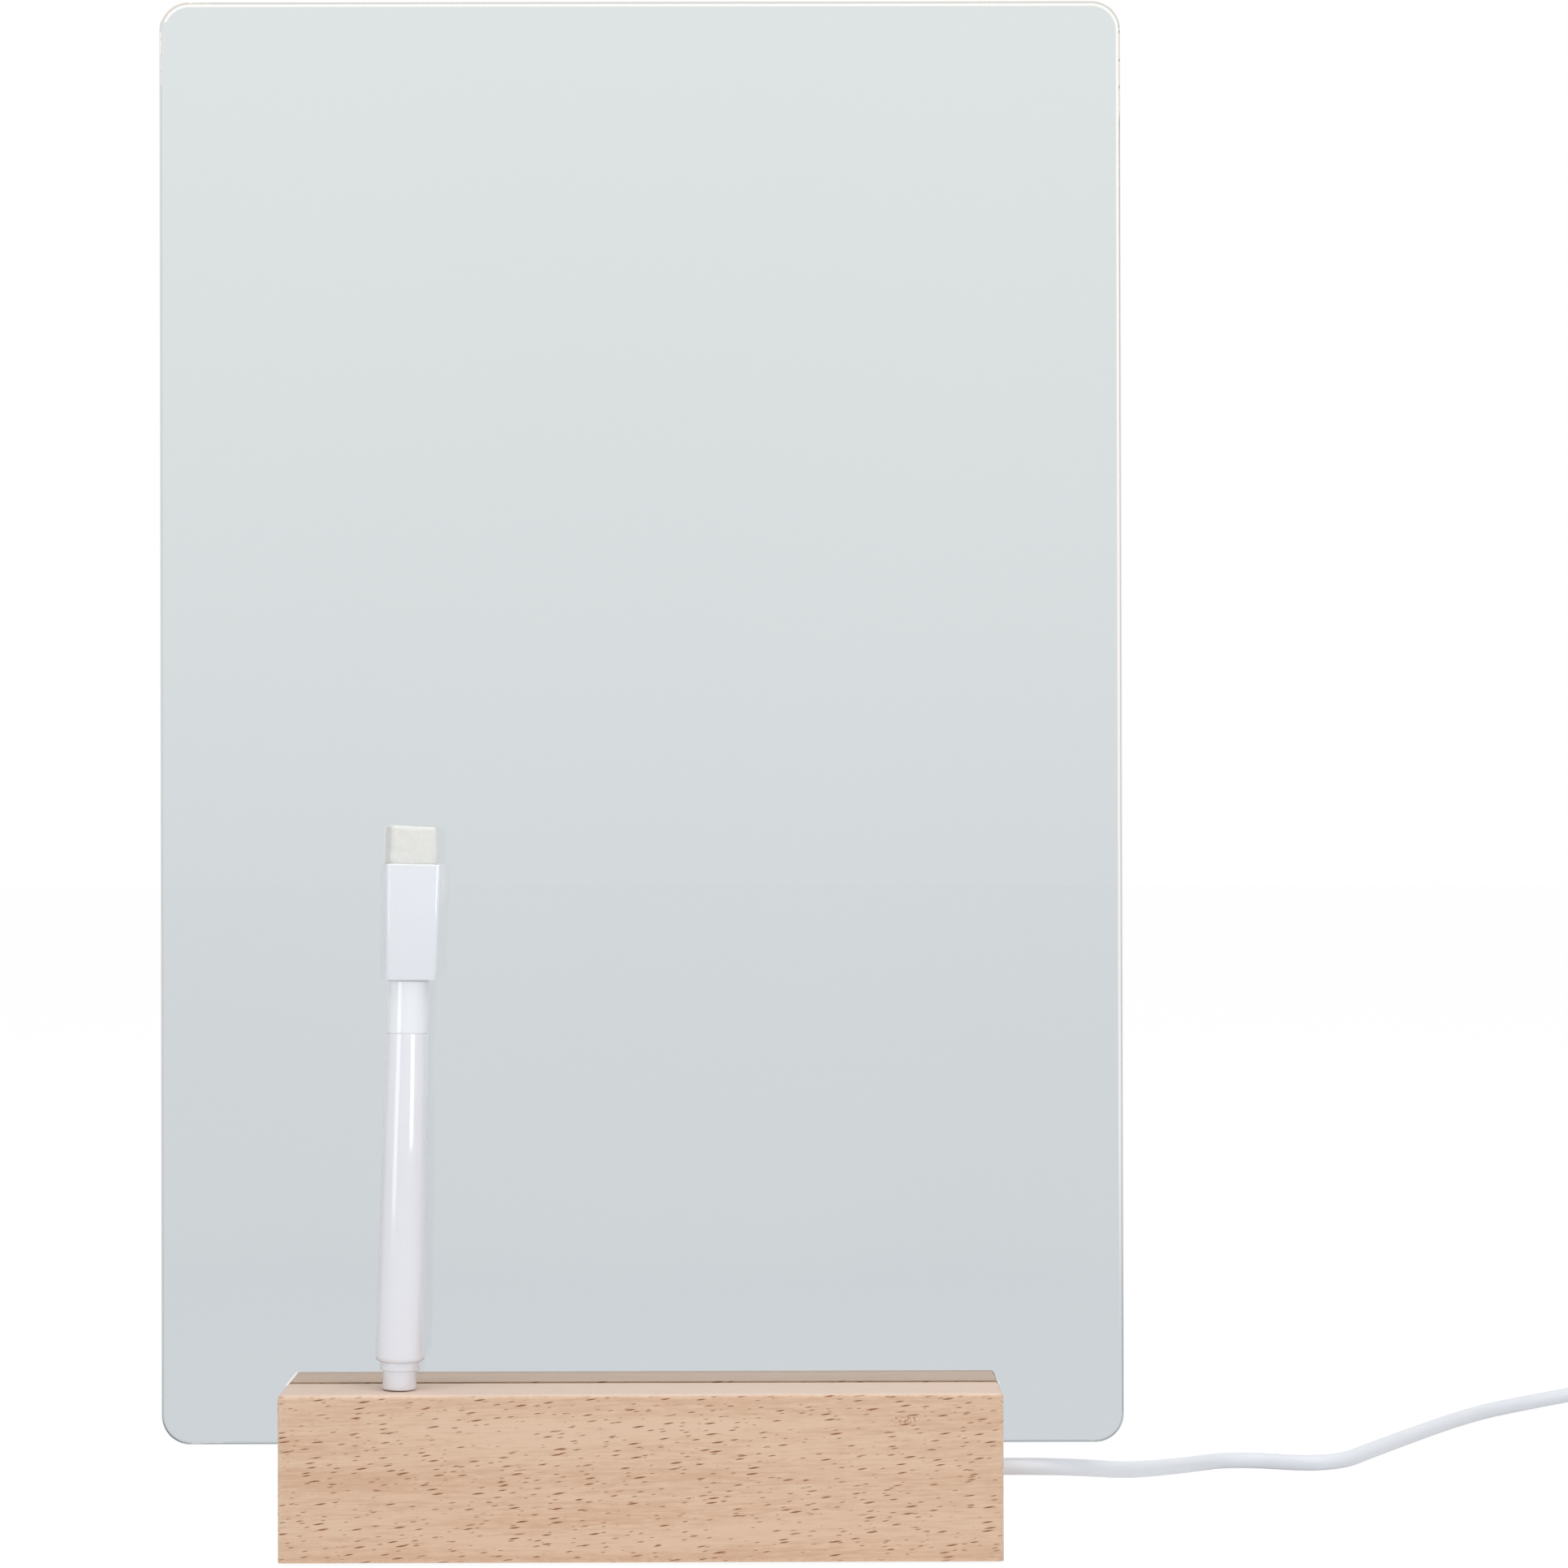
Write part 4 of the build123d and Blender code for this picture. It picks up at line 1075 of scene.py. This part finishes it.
class WRITINGBOARD_OT_plug(bpy.types.Operator):
    """Build the USB plug"""

    bl_idname = "writingboard.plug"
    bl_label = "USB Plug"

    def execute(self, context):
        shell = shell_finish(context.scene.writing_lead)
        jacket = jacket_finish(context.scene.writing_lead)
        finish_nodes(
            usb_body=shell,
            usb_shell=moulded("plug_steel", srgb(205, 205, 207), 0.25, metallic=1.0),
            usb_tongue=moulded("tongue_plastic", srgb(238, 238, 234), 0.4),
            usb_contacts=moulded("contact_gold", srgb(222, 186, 110), 0.3, metallic=1.0),
        )
        profile = [(1.9, 0), (3.4, 0), (3.3, 1.2), (2.95, 1.4), (2.95, 2.2), (3.1, 2.4), (3.0, 3.4)]
        profile += [(2.7, 3.6), (2.7, 4.4), (2.85, 4.6), (2.75, 5.6), (2.5, 5.8), (2.5, 6.6)]
        profile += [(2.6, 6.8), (2.55, 7.9), (2.45, 8.0), (1.9, 8.0), (1.9, 0)]
        place = Matrix.Translation(PLUG_BACK) @ Matrix.Rotation(-math.pi / 2, 4, "X")
        boot = turned(profile, place, BOOT_STEPS)
        finished("plug_boot", boot, jacket, "stand", ["usb_boot"])
        return {"FINISHED"}


class WRITINGBOARD_OT_declare_lead(bpy.types.Operator):
    """Does nothing; the lead's real length, thickness and ends are not stated"""

    bl_idname = "writingboard.declare_lead"
    bl_label = "Lead Facts"

    def execute(self, context):
        return {"FINISHED"}


class WRITINGBOARD_OT_stage(bpy.types.Operator):
    """Set up the floor, the lights and the camera"""

    bl_idname = "writingboard.stage"
    bl_label = "Stage"

    def execute(self, context):
        scene = context.scene
        settings = scene.writing_stage
        scene.view_settings.view_transform = "Standard"
        self.make_floor(scene)
        self.make_world(scene, settings)
        self.make_lights(scene, settings)
        self.make_camera(scene, settings)
        return {"FINISHED"}

    def make_floor(self, scene):
        bm = bmesh.new()
        bmesh.ops.create_grid(bm, x_segments=1, y_segments=1, size=FLOOR_HALF)
        bmesh.ops.translate(bm, vec=(0, 0, -FLOOR_DROP), verts=bm.verts[:])
        mesh = bpy.data.meshes.new("floor")
        bm.to_mesh(mesh)
        bm.free()
        floor = bpy.data.objects.new("floor", mesh)
        scene.collection.objects.link(floor)
        material, tree, shader, _ = new_material("white_floor")
        shader.inputs["Base Color"].default_value = (0.8, 0.8, 0.8, 1)
        shader.inputs["Roughness"].default_value = 0.9
        white = tree.nodes.new("ShaderNodeEmission")
        white.inputs["Color"].default_value = (1, 1, 1, 1)
        white.inputs["Strength"].default_value = FLOOR_WHITE
        share = calc(tree, "MULTIPLY", seen_rays(tree), FLOOR_WHITE_SHARE)
        blended(tree, share, shader.outputs[0], white.outputs[0], "OUTPUT_MATERIAL")
        mesh.materials.append(material)

    def make_world(self, scene, settings):
        world = bpy.data.worlds.new("studio")
        scene.world = world
        world.use_nodes = True
        tree = world.node_tree
        light = next(node for node in tree.nodes if node.type == "BACKGROUND")
        light.inputs["Color"].default_value = (1, 1, 1, 1)
        light.inputs["Strength"].default_value = settings.world_light
        shown = tree.nodes.new("ShaderNodeBackground")
        shown.inputs["Color"].default_value = (1, 1, 1, 1)
        blended(tree, seen_rays(tree), light.outputs[0], shown.outputs[0], "OUTPUT_WORLD")

    def make_lights(self, scene, settings):
        aim = Vector((0, 0, LAMP_AIM_HEIGHT))
        for name, place, size, power in (
            ("key", (0.65, -0.9, 0.6), (0.45, 1.1), settings.key_light),
            ("strip", (-0.85, -0.9, 0.35), (0.45, 1.2), settings.strip_light),
            ("top", (0.0, -0.15, 1.1), (1.2, 0.8), settings.top_light),
        ):
            lamp = bpy.data.lights.new(name, "AREA")
            lamp.shape = "RECTANGLE"
            lamp.size, lamp.size_y = size
            lamp.energy = power
            light = bpy.data.objects.new(name, lamp)
            light.location = place
            light.rotation_euler = (aim - Vector(place)).to_track_quat("-Z", "Y").to_euler()
            # The lamps stay out of what is seen through the clear sheet
            light.visible_transmission = False
            scene.collection.objects.link(light)

    def make_camera(self, scene, settings):
        data = bpy.data.cameras.new("camera")
        data.sensor_width = 36.0
        data.lens = settings.lens
        data.clip_start, data.clip_end = 0.01, 50
        camera = bpy.data.objects.new("camera", data)
        scene.collection.objects.link(camera)
        turn = (
            Matrix.Rotation(-settings.yaw, 3, "Z")
            @ Matrix.Rotation(math.pi / 2 + settings.pitch, 3, "X")
            @ Matrix.Rotation(settings.roll, 3, "Z")
        )
        camera.matrix_world = Matrix.Translation(Vector(settings.eye)) @ turn.to_4x4()
        scene.camera = camera


class WRITINGBOARD_PT_pieces(bpy.types.Panel):
    """Lists the writing board's operators"""

    bl_label = "Writing Board"
    bl_idname = "WRITINGBOARD_PT_pieces"
    bl_space_type = "VIEW_3D"
    bl_region_type = "UI"
    bl_category = "Writing Board"

    def draw(self, context):
        for operator in OPERATORS:
            self.layout.operator(operator.bl_idname)


OPERATORS = (
    WRITINGBOARD_OT_stage,
    WRITINGBOARD_OT_lead,
    WRITINGBOARD_OT_switch,
    WRITINGBOARD_OT_plug,
    WRITINGBOARD_OT_declare_lead,
    WRITINGBOARD_OT_clear_board,
    WRITINGBOARD_OT_wood_base,
    WRITINGBOARD_OT_light_bar,
    WRITINGBOARD_OT_underside,
    WRITINGBOARD_OT_marker_body,
    WRITINGBOARD_OT_marker_cap,
    WRITINGBOARD_OT_eraser,
)
SETTINGS = (
    ("writing_board", BoardSettings),
    ("writing_wood", WoodSettings),
    ("writing_marker", MarkerSettings),
    ("writing_lead", LeadSettings),
    ("writing_stage", StageSettings),
)


def register():
    for name, group in SETTINGS:
        bpy.utils.register_class(group)
        setattr(bpy.types.Scene, name, bpy.props.PointerProperty(type=group))
    for cls in (*OPERATORS, WRITINGBOARD_PT_pieces):
        bpy.utils.register_class(cls)


def unregister():
    for cls in reversed((*OPERATORS, WRITINGBOARD_PT_pieces)):
        bpy.utils.unregister_class(cls)
    for name, group in reversed(SETTINGS):
        delattr(bpy.types.Scene, name)
        bpy.utils.unregister_class(group)


def main():
    register()
    for operator in OPERATORS:
        family, action = operator.bl_idname.split(".")
        getattr(getattr(bpy.ops, family), action)()


if __name__ == "__main__":
    main()
